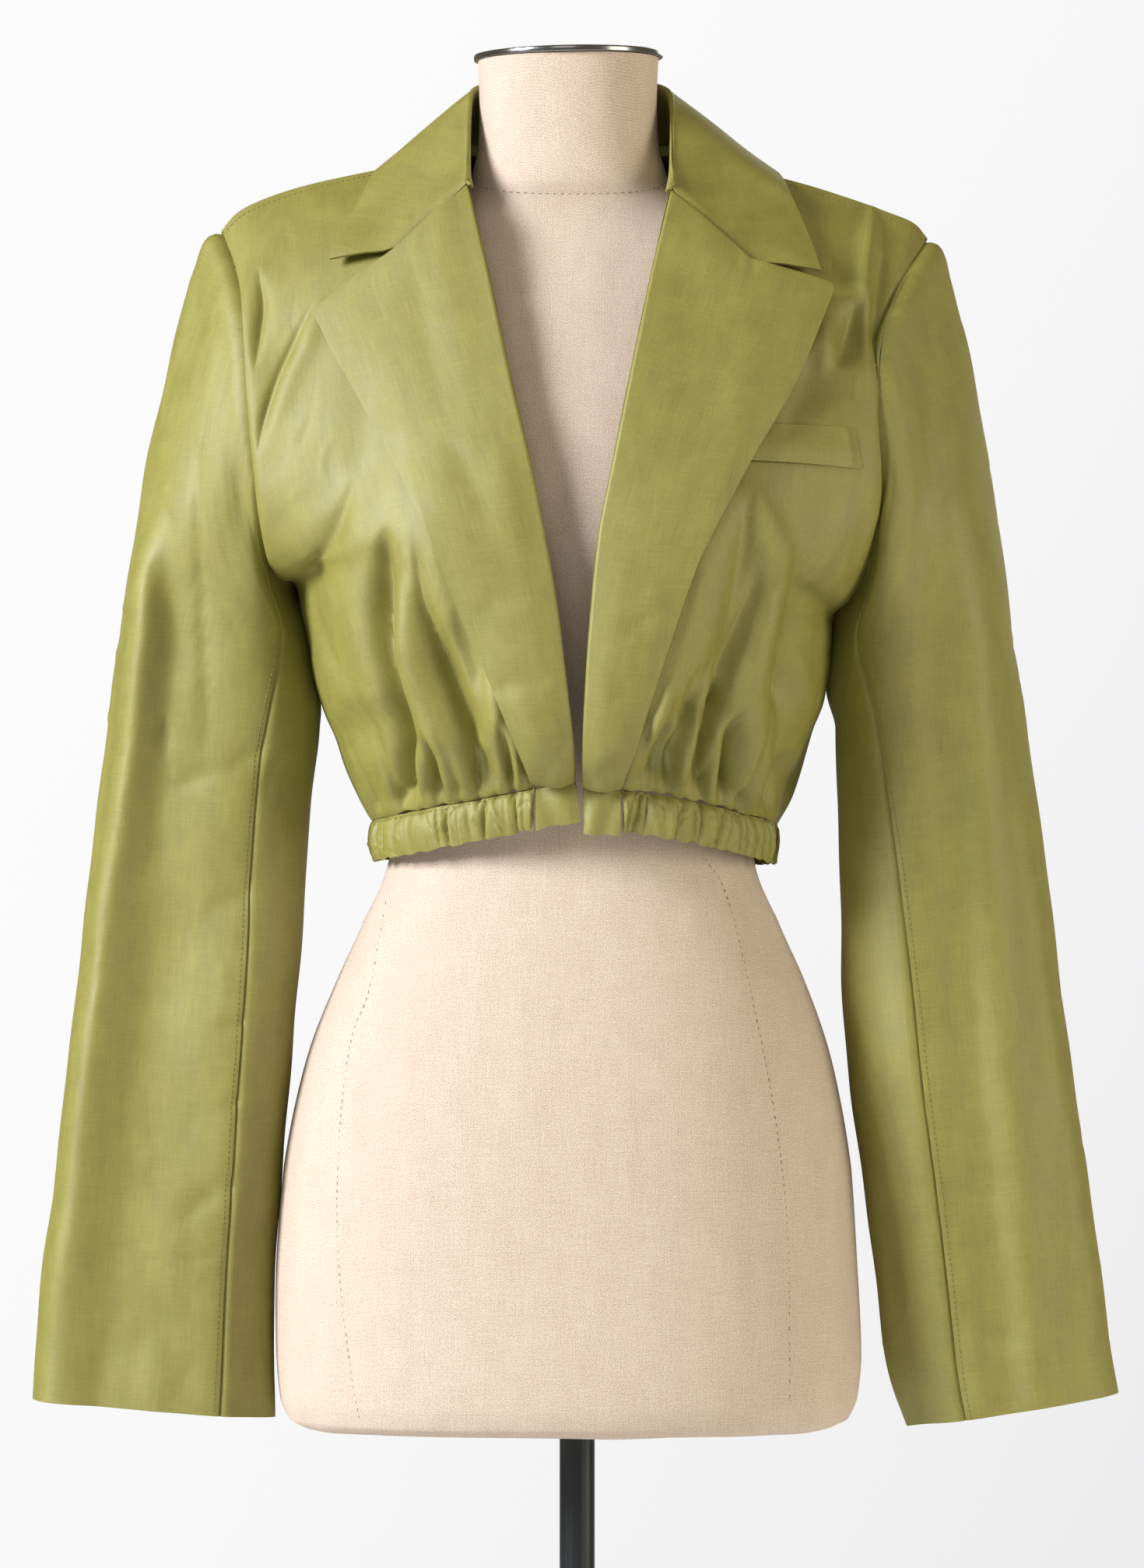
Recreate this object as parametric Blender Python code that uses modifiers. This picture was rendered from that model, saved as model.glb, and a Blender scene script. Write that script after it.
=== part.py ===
"""Cropped blazer with an elastic waistband, on a limbless dress form with a pole and a round base.

Metres, +Z up, the garment's front towards -Y. The origin is on the floor, under the middle of the base.
"Right" and "left" are the wearer's, so the right half lies at -X.

Outlines are tables of millimetres as an eye sees them from 4.2 m in front: across from the view axis,
height above the floor, and depth, the point's own y. seen() turns a row into its real place.
"""

import math

import bpy
import numpy as np

# cloth
CLOTH = 0.0014
COLLAR_CLOTH = 0.0016
SEAM_GAP = 0.0003
RIM_LEAN = (0.37, 0.21, 1.0)

# eye that the outlines are measured from
VIEW_DISTANCE = 4.2
EYE_HEIGHT = 1.134
VIEW_AXIS = -0.0029

# rows and columns of the walls
ARM_ROWS = 10
LOW_ROWS = 8
SLEEVE_COLUMNS = 20
CAP_RINGS = (0, 0.07, 0.2, 0.38, 0.58, 0.79, 1)
FRONT_SEAM_COLUMN = 7

SIDES = {"right": -1, "left": 1}

# Armhole seam in front, shoulder tip to underarm: across, height, depth
ARMHOLE_FRONT = {
    "right": (
        (-198.4, 1446.6, 4), (-192.3, 1430.3, -20), (-188.3, 1413.2, -38), (-186.1, 1389.8, -52),
        (-184.4, 1361.2, -63), (-182.2, 1330.4, -68), (-178.6, 1297.4, -66), (-173.4, 1265.3, -50),
        (-168.5, 1253.4, -34), (-162.4, 1248.6, -17), (-156.2, 1246.4, 0),
    ),
    "left": (
        (201.1, 1442.2, 4), (190.5, 1425.0, -20), (181.7, 1406.1, -40), (176.9, 1386.8, -53),
        (174.7, 1361.2, -63), (174.2, 1330.4, -68), (174.7, 1299.6, -68), (171.2, 1268.8, -56),
        (164.1, 1249.0, -38), (156.2, 1237.2, -19), (147.0, 1230.1, 0),
    ),
}

# Shoulder seam, neck to tip: across, height, depth
SHOULDER = {
    "right": (
        (-61.0, 1491.0, 2), (-117.5, 1479.6, 3), (-149.2, 1472.6, 4), (-172.9, 1465.1, 4),
        (-188.8, 1457.2, 4), (-198.4, 1446.6, 4),
    ),
    "left": (
        (58.5, 1491.0, 2), (121.9, 1475.6, 3), (153.6, 1466.1, 4), (178.0, 1457.4, 4),
        (193.2, 1451.0, 4), (201.1, 1442.2, 4),
    ),
}

# Outline of the sleeve's cap from the shoulder tip out and down: across, height
CAP_LINE = {
    "right": (
        (-198.4, 1446.6), (-204.6, 1443.5), (-212.5, 1428.0), (-218.7, 1409.6), (-228.8, 1374.4),
        (-239.4, 1321.6), (-248.4, 1268.0), (-256.1, 1216.0),
    ),
    "left": (
        (201.1, 1442.2), (207.5, 1438.7), (213.4, 1427.2), (218.2, 1409.6), (226.2, 1374.4),
        (234.5, 1321.6), (242.4, 1268.0), (249.5, 1212.0),
    ),
}

# Armhole seam behind, the same rows: outward from the front seam, higher than it, depth
ARMHOLE_BACK = (
    (0, 0, 4), (3, 0, 30), (5, 0, 48), (6, 0, 60), (6, 0, 68),
    (6, 0, 71), (4, 0, 68), (2, 0, 54), (1, 0, 36), (0.5, 0, 18), (0, 0, 0),
)

# Side seam, underarm to waist seam: across, height, depth
SIDE_SEAM = {
    "right": (
        (-156.2, 1246.4, 0), (-149.6, 1216.0, 1), (-145.0, 1190.0, 2), (-134.2, 1163.2, 2),
        (-129.0, 1145.6, 2), (-121.4, 1128.0, 1), (-113.1, 1113.1, 0),
    ),
    "left": (
        (147.0, 1230.1, 0), (146.6, 1212.0, 1), (144.0, 1192.0, 2), (137.0, 1167.0, 2),
        (131.5, 1148.0, 2), (125.4, 1128.0, 1), (116.2, 1111.3, 0),
    ),
}

# Neck edge and roll line of the front, shoulder seam to waist seam: across, height, depth
FRONT_EDGE = {
    "right": (
        (-61.0, 1491.0, 2), (-57.2, 1468.6, -50), (-44.9, 1414.0, -88), (-32.6, 1356.8, -114),
        (-23.3, 1317.2, -127), (-15.4, 1277.6, -133), (-8.0, 1235.0, -136), (-3.2, 1195.0, -136),
        (0.4, 1163.2, -131), (1.8, 1148.7, -122), (1.8, 1135.5, -106),
    ),
    "left": (
        (58.5, 1491.0, 2), (54.1, 1465.5, -50), (42.7, 1414.0, -88), (30.8, 1356.8, -114),
        (22.0, 1312.8, -127), (15.0, 1277.6, -133), (10.5, 1235.0, -136), (7.6, 1195.0, -136),
        (6.0, 1163.2, -131), (5.6, 1147.0, -122), (5.6, 1131.4, -106),
    ),
}

# Roundness of the front's sections, shoulder to waist: row, superellipse power
FRONT_ROUND = ((0, 1.25), (2, 1.6), (5, 2.05), (10, 2.25), (18, 2.2))

# How the waist seam falls from centre to side: power of the drop
WAIST_DROP = {"right": 1.0, "left": 1.6}

# Bust fullness of the fronts: across, height, forward, spread across, spread in height
BUST = {"across": 86, "height": 1262, "forward": 9, "wide": 46, "tall": 62}

# Centre back, neck seam to waist seam: height, depth
CENTRE_BACK = (
    (1491, 68), (1465, 79), (1440, 88), (1405, 98), (1360, 106), (1315, 109),
    (1270, 108), (1225, 105), (1180, 103), (1150, 104), (1125, 99), (1101, 86),
)
BACK_ROUND = ((0, 1.5), (2, 1.9), (5, 2.2), (10, 2.3), (18, 2.1))

# Gathers of the fronts above the band: place across the waist seam, rise, depth
GATHERS = {
    "right": (
        (-107, 60, 3.0), (-96, 95, 3.6), (-82, 55, 3.0), (-69, 80, 4.2),
        (-57, 50, 3.0), (-44, 62, 3.2), (-33, 85, 4.2), (-21, 40, 3.4),
    ),
    "left": (
        (108, 45, 2.4), (100, 60, 3.0), (90, 75, 3.4), (79, 50, 2.8), (70, 80, 4.4),
        (60, 60, 3.2), (50, 42, 2.8), (38, 78, 4.4), (26, 55, 3.8),
    ),
}
BACK_GATHERS = 14

# Pleats of the band's front halves: place across
PLEATS = {
    "right": (-105, -99, -89, -80, -75, -70, -64, -48, -37, -31),
    "left": (41, 59, 68, 73, 82, 89, 94, 98, 103, 107, 111),
}
BACK_PLEATS = 26
PLEAT_DEPTH = 0.0021
BAND_HEIGHT = 0.0222
BAND_TUCK = 0.0015

# Flat front tabs of the band: inner edge, outer edge, bottom inner edge, height, overhang below the band
TABS = {
    "right": {"inner": 1.6, "outer": -20.5, "low_inner": 5.0, "height": 22.6, "lift": 1.2},
    "left": {"inner": 6.6, "outer": 27.5, "low_inner": 6.6, "height": 25.0, "lift": 0.2},
}

# Lapels, roll line start and outer edge from the top corner down to the waist: across, height
LAPEL_TOP = {
    "right": ((-57.2, 1467.9), (-98.6, 1433.2), (-134.6, 1409.4)),
    "left": ((54.1, 1464.8), (97.7, 1427.2), (143.0, 1412.6)),
}
LAPEL_EDGE = {
    "right": (
        (-142.6, 1400.0), (-139.0, 1389.0), (-121.4, 1356.8), (-92.4, 1303.6), (-75.7, 1264.7),
        (-60.3, 1224.8), (-46.6, 1194.9), (-29.9, 1154.9), (-22.4, 1135.8),
    ),
    "left": (
        (143.4, 1408.0), (138.0, 1394.0), (121.9, 1356.8), (99.0, 1316.8), (78.8, 1277.6),
        (67.3, 1251.7), (45.3, 1187.4), (33.4, 1150.0), (26.6, 1133.4),
    ),
}
LAPEL_ROLL_END = {"right": (1.6, 1137.0), "left": (6.4, 1133.6)}
LAPEL_LIFT = {"roll": 4.2, "middle": 8.0, "edge": 5.0}

# Welt of the chest pocket: its corners across and height, with the end nearer the centre under the lapel
WELT = {"top": ((104.0, 1338.0), (161.5, 1334.8)), "bottom": ((98.0, 1316.6), (164.0, 1311.4)), "lift": 2.4}

# Collar, front end to centre back: neck seam, fold and outer edge, each across, height, depth.
# An edge with no depth lies on the front.
COLLAR = {
    "right": (
        ((-55.6, 1471.0, -50), (-57.2, 1473.0, -57), (-134.2, 1428.1, None)),
        ((-57.2, 1478.5, -37), (-57.4, 1486.0, -41), (-126.7, 1446.6, None)),
        ((-59.0, 1485.0, -24), (-57.2, 1503.0, -25), (-118.8, 1466.8, -30)),
        ((-61.6, 1491.5, -8), (-56.2, 1520.0, -8), (-113.4, 1480.6, -6)),
        ((-60.6, 1494.5, 12), (-54.8, 1525.5, 14), (-108.0, 1482.5, 24)),
        ((-49.0, 1495.0, 42), (-45.0, 1529.0, 42), (-88.0, 1477.0, 66)),
        ((-28.0, 1494.5, 62), (-26.0, 1531.0, 60), (-50.0, 1469.0, 90)),
        ((0.0, 1493.5, 71), (0.0, 1532.0, 67), (0.0, 1465.0, 98)),
    ),
    "left": (
        ((52.6, 1468.5, -50), (54.6, 1470.5, -57), (137.3, 1421.1, None)),
        ((54.3, 1476.5, -37), (55.2, 1484.5, -41), (131.1, 1444.8, None)),
        ((56.0, 1483.5, -24), (55.4, 1502.5, -25), (124.5, 1464.6, -30)),
        ((58.2, 1491.0, -8), (55.0, 1519.6, -8), (118.4, 1479.0, -6)),
        ((58.2, 1494.0, 12), (53.0, 1525.4, 14), (112.0, 1482.0, 24)),
        ((47.0, 1494.5, 42), (43.0, 1529.0, 42), (90.0, 1476.5, 66)),
        ((27.0, 1494.0, 62), (25.0, 1531.0, 60), (51.0, 1469.0, 90)),
        ((0.0, 1493.5, 71), (0.0, 1532.0, 67), (0.0, 1465.0, 98)),
    ),
}
NOTCH = {"right": (-98.6, 1434.8), "left": (97.7, 1428.8)}
COLLAR_LIFT = 5.0
COLLAR_FOLD = 0.0022
COLLAR_SPREAD = 1.0

# Sleeves, below the cap down to the hem: outer edge and inner edge across, their heights, half depth,
# centre depth, and the front seam's angle round from the outer edge
SLEEVE = {
    "right": (
        (-256.1, -158.5, 1216.0, 1208.0, 58, 2, 135), (-261.4, -146.6, 1178.0, 1172.0, 55, 3, 121),
        (-267.1, -147.8, 1129.0, 1124.0, 50, 3, 119), (-273.7, -150.9, 1077.0, 1071.0, 46, 2, 119.5),
        (-279.4, -155.3, 1024.0, 1016.0, 44, 0, 121.4), (-285.1, -159.3, 972.0, 964.0, 42, -2, 122.4),
        (-291.7, -164.1, 920.0, 911.0, 39, -3, 123.7), (-297.9, -167.6, 867.0, 857.0, 36, -3, 124.5),
        (-303.4, -168.1, 815.0, 805.0, 33, -2, 123.2), (-305.4, -168.1, 787.0, 776.6, 32, -2, 122.1),
    ),
    "left": (
        (249.5, 152.5, 1212.0, 1202.0, 58, 2, 135), (255.2, 150.0, 1178.0, 1170.0, 55, 3, 126),
        (262.2, 150.5, 1129.0, 1122.0, 50, 3, 119.5), (270.2, 152.2, 1076.0, 1069.0, 46, 2, 114.9),
        (276.8, 153.1, 1024.0, 1015.0, 44, 0, 111), (283.8, 157.5, 973.0, 962.0, 42, -2, 110.7),
        (290.8, 164.6, 921.0, 908.0, 39, -3, 110.7), (297.9, 171.6, 870.0, 854.0, 36, -3, 111.3),
        (304.5, 178.6, 819.0, 803.0, 33, -2, 112.5), (308.9, 189.2, 790.5, 771.5, 32, -2, 116),
    ),
}
SLEEVE_ROUND = 2.15
# Soft troughs down the sleeves: column, column width, depth at the elbow
SLEEVE_TROUGHS = {"right": ((3.4, 1.0, 4.0),), "left": ((3.0, 1.0, 3.0),)}

# Dress form, neck to bottom: height, half width, front, back, across of its middle
FORM = (
    (1543.0, 51.0, -49, 53, -2.2), (1520.0, 50.2, -48, 53, -2.2), (1494.0, 51.0, -48, 54, -2.0),
    (1482.0, 54.0, -49, 55, -1.6), (1470.0, 60.0, -49, 57, -1.0), (1459.0, 80.0, -46, 56, 0.0),
    (1446.0, 112.0, -47, 60, 0.0), (1430.0, 138.0, -55, 68, 0.0), (1402.0, 152.0, -72, 80, 0.0),
    (1352.0, 154.0, -96, 93, 0.0), (1304.0, 150.0, -112, 96, 0.0), (1262.0, 144.0, -118, 95, 0.0),
    (1222.0, 134.0, -113, 92, 0.0), (1180.0, 118.0, -99, 86, 0.0), (1140.0, 106.0, -88, 80, 0.0),
    (1110.0, 102.0, -82, 74, 0.0), (1085.0, 104.6, -84, 76, -0.4), (1058.0, 116.6, -90, 92, -0.6),
    (1022.0, 132.7, -98, 104, -0.8), (987.0, 146.0, -103, 112, -1.6), (952.0, 154.7, -106, 116, -2.2),
    (917.0, 160.6, -107, 117, -2.6), (864.0, 164.3, -107, 115, -3.0), (811.0, 165.4, -106, 112, -1.8),
    (787.0, 163.0, -104, 109, -1.8), (776.0, 158.0, -100, 105, -1.8), (772.0, 150.0, -93, 98, -1.8),
)
FORM_COLUMNS = 28
FORM_ROUND = 2.25
NECK_TILT = 0.02

CAP_RADIUS = 0.0535
CAP_THICKNESS = 0.0036
CAP_CENTRE = (-2.0, 2.0)

POLE_RADIUS = 0.0099
BASE_RADIUS = 0.19
BASE_THICKNESS = 0.008
HUB_RADIUS = 0.02
HUB_HEIGHT = 0.03


def seen(across, height, depth):
    """Real place of a point that the eye sees there, when its own y is depth."""
    depth = np.asarray(depth, float) / 1000
    nearer = (VIEW_DISTANCE + depth) / VIEW_DISTANCE
    x = VIEW_AXIS + np.asarray(across, float) / 1000 * nearer
    z = EYE_HEIGHT + (np.asarray(height, float) / 1000 - EYE_HEIGHT) * nearer
    return np.stack(np.broadcast_arrays(x, depth, z), axis=-1)


def as_seen(point):
    """Across and height at which the eye sees a real place."""
    nearer = (VIEW_DISTANCE + point[..., 1]) / VIEW_DISTANCE
    across = (point[..., 0] - VIEW_AXIS) / nearer * 1000
    height = (EYE_HEIGHT + (point[..., 2] - EYE_HEIGHT) / nearer) * 1000
    return np.stack((across, height), axis=-1)


def smooth(knots, at):
    """Catmull-Rom curve through the knots, read at places counted in knots."""
    knots = np.asarray(knots, float)
    at = np.clip(np.asarray(at, float), 0, len(knots) - 1)
    low = np.minimum(at.astype(int), len(knots) - 2)
    t = (at - low)[..., None]
    before = np.where((low > 0)[..., None], knots[np.maximum(low - 1, 0)], 2 * knots[low] - knots[low + 1])
    here = knots[low]
    there = knots[low + 1]
    last = len(knots) - 1
    after = np.where((low + 2 <= last)[..., None], knots[np.minimum(low + 2, last)], 2 * there - here)
    return 0.5 * (
        2 * here
        + (there - before) * t
        + (2 * before - 5 * here + 4 * there - after) * t**2
        + (3 * here - before - 3 * there + after) * t**3
    )


def spaced(knots, count):
    """Points at even distances along the smooth curve through the knots."""
    fine = smooth(knots, np.linspace(0, len(knots) - 1, 40 * len(knots)))
    run = np.concatenate(([0], np.cumsum(np.linalg.norm(np.diff(fine, axis=0), axis=1))))
    at = np.linspace(0, run[-1], count)
    return np.stack([np.interp(at, run, fine[:, i]) for i in range(fine.shape[1])], axis=1)


def by_row(table, rows):
    table = np.asarray(table, float)
    return np.interp(rows, table[:, 0], table[:, 1])


def places(rows):
    rows = np.asarray(rows, float)
    return seen(rows[:, 0], rows[:, 1], rows[:, 2])


def arm_and_side(side, behind=False):
    """The outer edge of a front or of the back's half: armhole rows, then side seam rows."""
    arm = np.array(ARMHOLE_FRONT[side], float)
    if behind:
        shift = np.array(ARMHOLE_BACK, float)
        arm[:, 0] += SIDES[side] * shift[:, 0]
        arm[:, 1] += shift[:, 1]
        arm[:, 2] = shift[:, 2]
    low = spaced(places(SIDE_SEAM[side]), LOW_ROWS + 1)
    return np.concatenate((places(arm), low[1:]))


class Front:
    """One front of the jacket: sections from the roll line out to the armhole and side seam."""

    def __init__(self, side):
        self.side = side
        self.sign = SIDES[side]
        edge = places(FRONT_EDGE[side])
        share = 0.63
        fine = spaced(edge, 201)
        upper = np.linspace(0, 200 * share, ARM_ROWS + 1)
        lower = np.linspace(200 * share, 200, LOW_ROWS + 1)[1:]
        self.edge = smooth(fine, np.concatenate((upper, lower)))
        self.outer = arm_and_side(side)
        self.rows = ARM_ROWS + LOW_ROWS
        self.gathers = [(self.column_at_waist(across), rise, depth) for across, rise, depth in GATHERS[side]]

    def column_at_waist(self, across):
        first = as_seen(self.edge[-1])[0]
        last = as_seen(self.outer[-1])[0]
        share = np.clip((across - first) / (last - first), 0, 1)
        power = FRONT_ROUND[-1][1]
        return math.asin(share ** (power / 2)) / (math.pi / 2)

    def point(self, u, v):
        """Place at column u, 0 at the roll line to 1 at the seam, and row v from the shoulder down."""
        u, v = np.broadcast_arrays(np.asarray(u, float), np.asarray(v, float))
        edge = smooth(self.edge, v)
        outer = smooth(self.outer, v)
        power = by_row(FRONT_ROUND, v)
        turn = np.clip(u, 0, 1) * math.pi / 2
        across = np.sin(turn) ** (2 / power)
        forward = np.maximum(np.cos(turn), 0) ** (2 / power)
        drop = 1 + (WAIST_DROP[self.side] - 1) * np.clip((v - ARM_ROWS) / LOW_ROWS, 0, 1)
        x = edge[..., 0] + (outer[..., 0] - edge[..., 0]) * across
        y = outer[..., 1] + (edge[..., 1] - outer[..., 1]) * forward
        z = edge[..., 2] + (outer[..., 2] - edge[..., 2]) * across**drop
        y = y - self.fullness(x, z) * np.clip(4 * u, 0, 1) * np.clip(4 * (1 - u), 0, 1)
        point = np.stack((x, y, z), axis=-1)
        fade = np.clip(1 - v / 4, 0, 1) ** 1.5
        point = point + shoulder_rise(self.side, across) * fade[..., None]
        return point + self.gathered(u, v, point)

    def fullness(self, x, z):
        wide = (np.abs(x - VIEW_AXIS) * 1000 - BUST["across"]) / BUST["wide"]
        tall = (z * 1000 - BUST["height"]) / BUST["tall"]
        return BUST["forward"] / 1000 * np.exp(-(wide**2) - tall**2)

    def gathered(self, u, v, point):
        """Gathers pull the wall in towards the form's axis, most just above the band."""
        down = np.clip((v - ARM_ROWS) / LOW_ROWS, 0, 1)
        depth = np.zeros_like(u)
        seam = self.outer[-1][2]
        above = (point[..., 2] - seam) * 1000
        for column, rise, deep in self.gathers:
            fade = np.clip(1 - above / rise, 0, 1) ** 1.5
            depth = depth + deep / 1000 * fade * np.exp(-(((u - column) / 0.028) ** 2))
        depth = depth * down**0.5
        out = np.stack((point[..., 0] - VIEW_AXIS, point[..., 1], np.zeros_like(u)), axis=-1)
        out = out / np.maximum(np.linalg.norm(out, axis=-1, keepdims=True), 1e-6)
        return -out * depth[..., None]

    def normal(self, u, v):
        step = 0.01
        along = self.point(np.clip(u + step, 0, 1), v) - self.point(np.clip(u - step, 0, 1), v)
        down = self.point(u, np.clip(v + step, 0, self.rows)) - self.point(u, np.clip(v - step, 0, self.rows))
        return unit(np.cross(down, along) * self.sign)

    def find(self, across, height):
        """Column and row that the eye sees at that place."""
        target = np.array((across, height), float)
        columns, rows = np.meshgrid(np.linspace(0, 1, 33), np.linspace(0, self.rows, 55))
        far = np.linalg.norm(as_seen(self.point(columns, rows)) - target, axis=-1)
        best = np.unravel_index(np.argmin(far), far.shape)
        spot = np.array((columns[best], rows[best]))
        for _ in range(12):
            here = as_seen(self.point(*spot))
            step = np.array((0.004, 0.05))
            sideways = (as_seen(self.point(spot[0] + step[0], spot[1])) - here) / step[0]
            down = (as_seen(self.point(spot[0], spot[1] + step[1])) - here) / step[1]
            slope = np.stack((sideways, down), axis=1)
            move = np.linalg.solve(slope + 1e-9 * np.eye(2), target - here)
            spot = spot + np.clip(move, (-0.08, -1.5), (0.08, 1.5))
            spot = np.clip(spot, (0.001, 0), (0.995, self.rows - 0.01))
        return spot

    def laid(self, across, height, lift):
        """Place over the front where the eye sees it, lift millimetres off the cloth."""
        u, v = self.find(across, height)
        return self.point(u, v) + self.normal(u, v) * lift / 1000

    def columns(self):
        """Columns on each gather's valley and between them, and a few up to the roll line."""
        valleys = sorted(column for column, _, _ in self.gathers)
        between = [(a + b) / 2 for a, b in zip(valleys, valleys[1:])]
        first = valleys[0]
        return np.array(sorted([0, first / 3, first * 2 / 3, *valleys, *between, (valleys[-1] + 1) / 2, 1]))

    def grid(self):
        rows = np.arange(self.rows + 1)
        return self.point(self.columns()[None, :], rows[:, None])


class Back:
    """The back in one piece: sections from the right armhole or side seam round to the left."""

    def __init__(self):
        self.rows = ARM_ROWS + LOW_ROWS
        middle = np.array([(0, height, depth) for height, depth in CENTRE_BACK], float)
        fine = spaced(places(middle), 201)
        upper = np.linspace(0, 200 * 0.62, ARM_ROWS + 1)
        lower = np.linspace(200 * 0.62, 200, LOW_ROWS + 1)[1:]
        self.middle = smooth(fine, np.concatenate((upper, lower)))
        self.outer = {side: arm_and_side(side, behind=True) for side in SIDES}
        self.neck = {side: places(FRONT_EDGE[side])[0] for side in SIDES}
        self.neck_column = 0.34

    def half(self, side, u, v):
        u, v = np.broadcast_arrays(np.asarray(u, float), np.asarray(v, float))
        middle = smooth(self.middle, v)
        outer = smooth(self.outer[side], v)
        power = by_row(BACK_ROUND, v)
        turn = np.clip(u, 0, 1) * math.pi / 2
        across = (np.sin(turn) ** (2 / power))[..., None]
        behind = np.maximum(np.cos(turn), 0) ** (2 / power)
        point = middle + (outer - middle) * across
        point[..., 1] = outer[..., 1] + (middle[..., 1] - outer[..., 1]) * behind
        top = self.top(side, u)
        fade = (np.clip(1 - v / 3, 0, 1) ** 1.5)[..., None]
        flat = self.section(side, u, 0)
        point = point + (top - flat) * fade
        return point + self.gathered(side, u, v, point)

    def section(self, side, u, row):
        turn = np.clip(u, 0, 1) * math.pi / 2
        power = BACK_ROUND[0][1]
        across = (np.sin(turn) ** (2 / power))[..., None]
        point = self.middle[row] + (self.outer[side][row] - self.middle[row]) * across
        behind = np.maximum(np.cos(turn), 0) ** (2 / power)
        point[..., 1] = self.outer[side][row][1] + (self.middle[row][1] - self.outer[side][row][1]) * behind
        return point

    def top(self, side, u):
        """Neck curve from the centre to the shoulder seam, then the shoulder seam to its tip."""
        neck = self.neck[side]
        centre = self.middle[0]
        turn = np.clip(u / self.neck_column, 0, 1) * math.pi / 2
        curve = centre + (neck - centre) * np.sin(turn)[..., None]
        curve[..., 1] = neck[1] + (centre[1] - neck[1]) * np.cos(turn)
        along = np.clip((u - self.neck_column) / (1 - self.neck_column), 0, 1)[..., None]
        seam = shoulder_seam(side, along[..., 0])
        return np.where((u < self.neck_column)[..., None], curve, seam)

    def gathered(self, side, u, v, point):
        down = np.clip((v - ARM_ROWS) / LOW_ROWS, 0, 1)
        count = BACK_GATHERS / 2
        fade = np.clip((v - ARM_ROWS - 1) / (LOW_ROWS - 1), 0, 1) ** 1.4
        uneven = 1 + 0.35 * np.sin(5.1 * u * math.pi + SIDES[side])
        depth = 0.0032 * fade * uneven * (0.5 - 0.5 * np.cos(2 * math.pi * count * u)) * down
        out = np.stack((point[..., 0] - VIEW_AXIS, point[..., 1], np.zeros_like(u)), axis=-1)
        out = out / np.maximum(np.linalg.norm(out, axis=-1, keepdims=True), 1e-6)
        return -out * depth[..., None]

    def grid(self):
        columns = np.linspace(0, 1, BACK_GATHERS + 1)
        columns = np.sort(np.append(columns, self.neck_column))
        rows = np.arange(self.rows + 1)[:, None]
        right = self.half("right", columns[None, ::-1], rows)
        left = self.half("left", columns[None, 1:], rows)
        return np.concatenate((right, left), axis=1)


def shoulder_seam(side, along):
    """Shoulder seam at shares of its width, 0 at the neck to 1 at the tip."""
    line = places(smooth(SHOULDER[side], np.linspace(0, len(SHOULDER[side]) - 1, 61)))
    share = (line[:, 0] - line[0, 0]) / (line[-1, 0] - line[0, 0])
    return np.stack([np.interp(along, share, line[:, i]) for i in range(3)], axis=-1)


def shoulder_rise(side, along):
    """How far the shoulder seam stands above a straight line from neck to tip."""
    neck, tip = shoulder_seam(side, 0.0), shoulder_seam(side, 1.0)
    along = np.asarray(along, float)
    return shoulder_seam(side, along) - (neck + (tip - neck) * along[..., None])


def unit(vectors):
    return vectors / np.maximum(np.linalg.norm(vectors, axis=-1, keepdims=True), 1e-9)


def grid_normals(grid, closed=False):
    """Normals of a grid, rows running down and columns to the eye's right as seen from outside."""
    if closed:
        along = np.roll(grid, -1, axis=1) - np.roll(grid, 1, axis=1)
    else:
        along = np.gradient(grid, axis=1)
    return unit(np.cross(np.gradient(grid, axis=0), along))


def pulled_in(grid, edges, gap=SEAM_GAP / 2):
    """Moves the named edges back by half a seam's gap."""
    grid = grid.copy()
    pairs = {"top": (0, 1), "bottom": (-1, -2)}
    for name, (edge, next_row) in pairs.items():
        if name in edges:
            grid[edge] += unit(grid[next_row] - grid[edge]) * gap
    pairs = {"first": (0, 1), "last": (-1, -2)}
    for name, (edge, next_column) in pairs.items():
        if name in edges:
            grid[:, edge] += unit(grid[:, next_column] - grid[:, edge]) * gap
    return grid


def wall(name, outside, thickness, paint, normals=None):
    """Cloth wall: the outside grid, the same grid moved in by the thickness, and the rim between them."""
    rows, columns = outside.shape[:2]
    normals = grid_normals(outside) if normals is None else normals
    inside = outside - normals * thickness
    points = np.concatenate((outside.reshape(-1, 3), inside.reshape(-1, 3)))
    count = rows * columns

    def index(row, column):
        return row * columns + column

    faces = []
    for row in range(rows - 1):
        for column in range(columns - 1):
            a = index(row, column)
            b = index(row + 1, column)
            c = index(row + 1, column + 1)
            d = index(row, column + 1)
            faces.append((a, b, c, d))
            faces.append((a + count, d + count, c + count, b + count))
    border = [index(0, column) for column in range(columns)]
    border += [index(row, columns - 1) for row in range(1, rows)]
    border += [index(rows - 1, column) for column in range(columns - 2, -1, -1)]
    border += [index(row, 0) for row in range(rows - 2, 0, -1)]
    # neighbours share a seam, so each rim face is split along the same diagonal in both
    lean = points @ RIM_LEAN
    for a, b in zip(border, border[1:] + border[:1]):
        if lean[a] > lean[b]:
            faces += [(a, b, b + count), (a, b + count, a + count)]
        else:
            faces += [(a, b, a + count), (b, b + count, a + count)]
    return add_mesh(name, points, faces, paint)


def add_mesh(name, points, faces, paint):
    mesh = bpy.data.meshes.new(name)
    mesh.from_pydata([tuple(point) for point in points], [], faces)
    mesh.update()
    mesh.shade_smooth()
    mesh.materials.append(paint)
    part = bpy.data.objects.new(name, mesh)
    collection.objects.link(part)
    return part


def material(name, colour, roughness, metallic=0.0):
    paint = bpy.data.materials.new(name)
    paint.use_nodes = True
    shader = paint.node_tree.nodes["Principled BSDF"]
    shader.inputs["Base Color"].default_value = (*colour, 1)
    shader.inputs["Roughness"].default_value = roughness
    shader.inputs["Metallic"].default_value = metallic
    return paint


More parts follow.
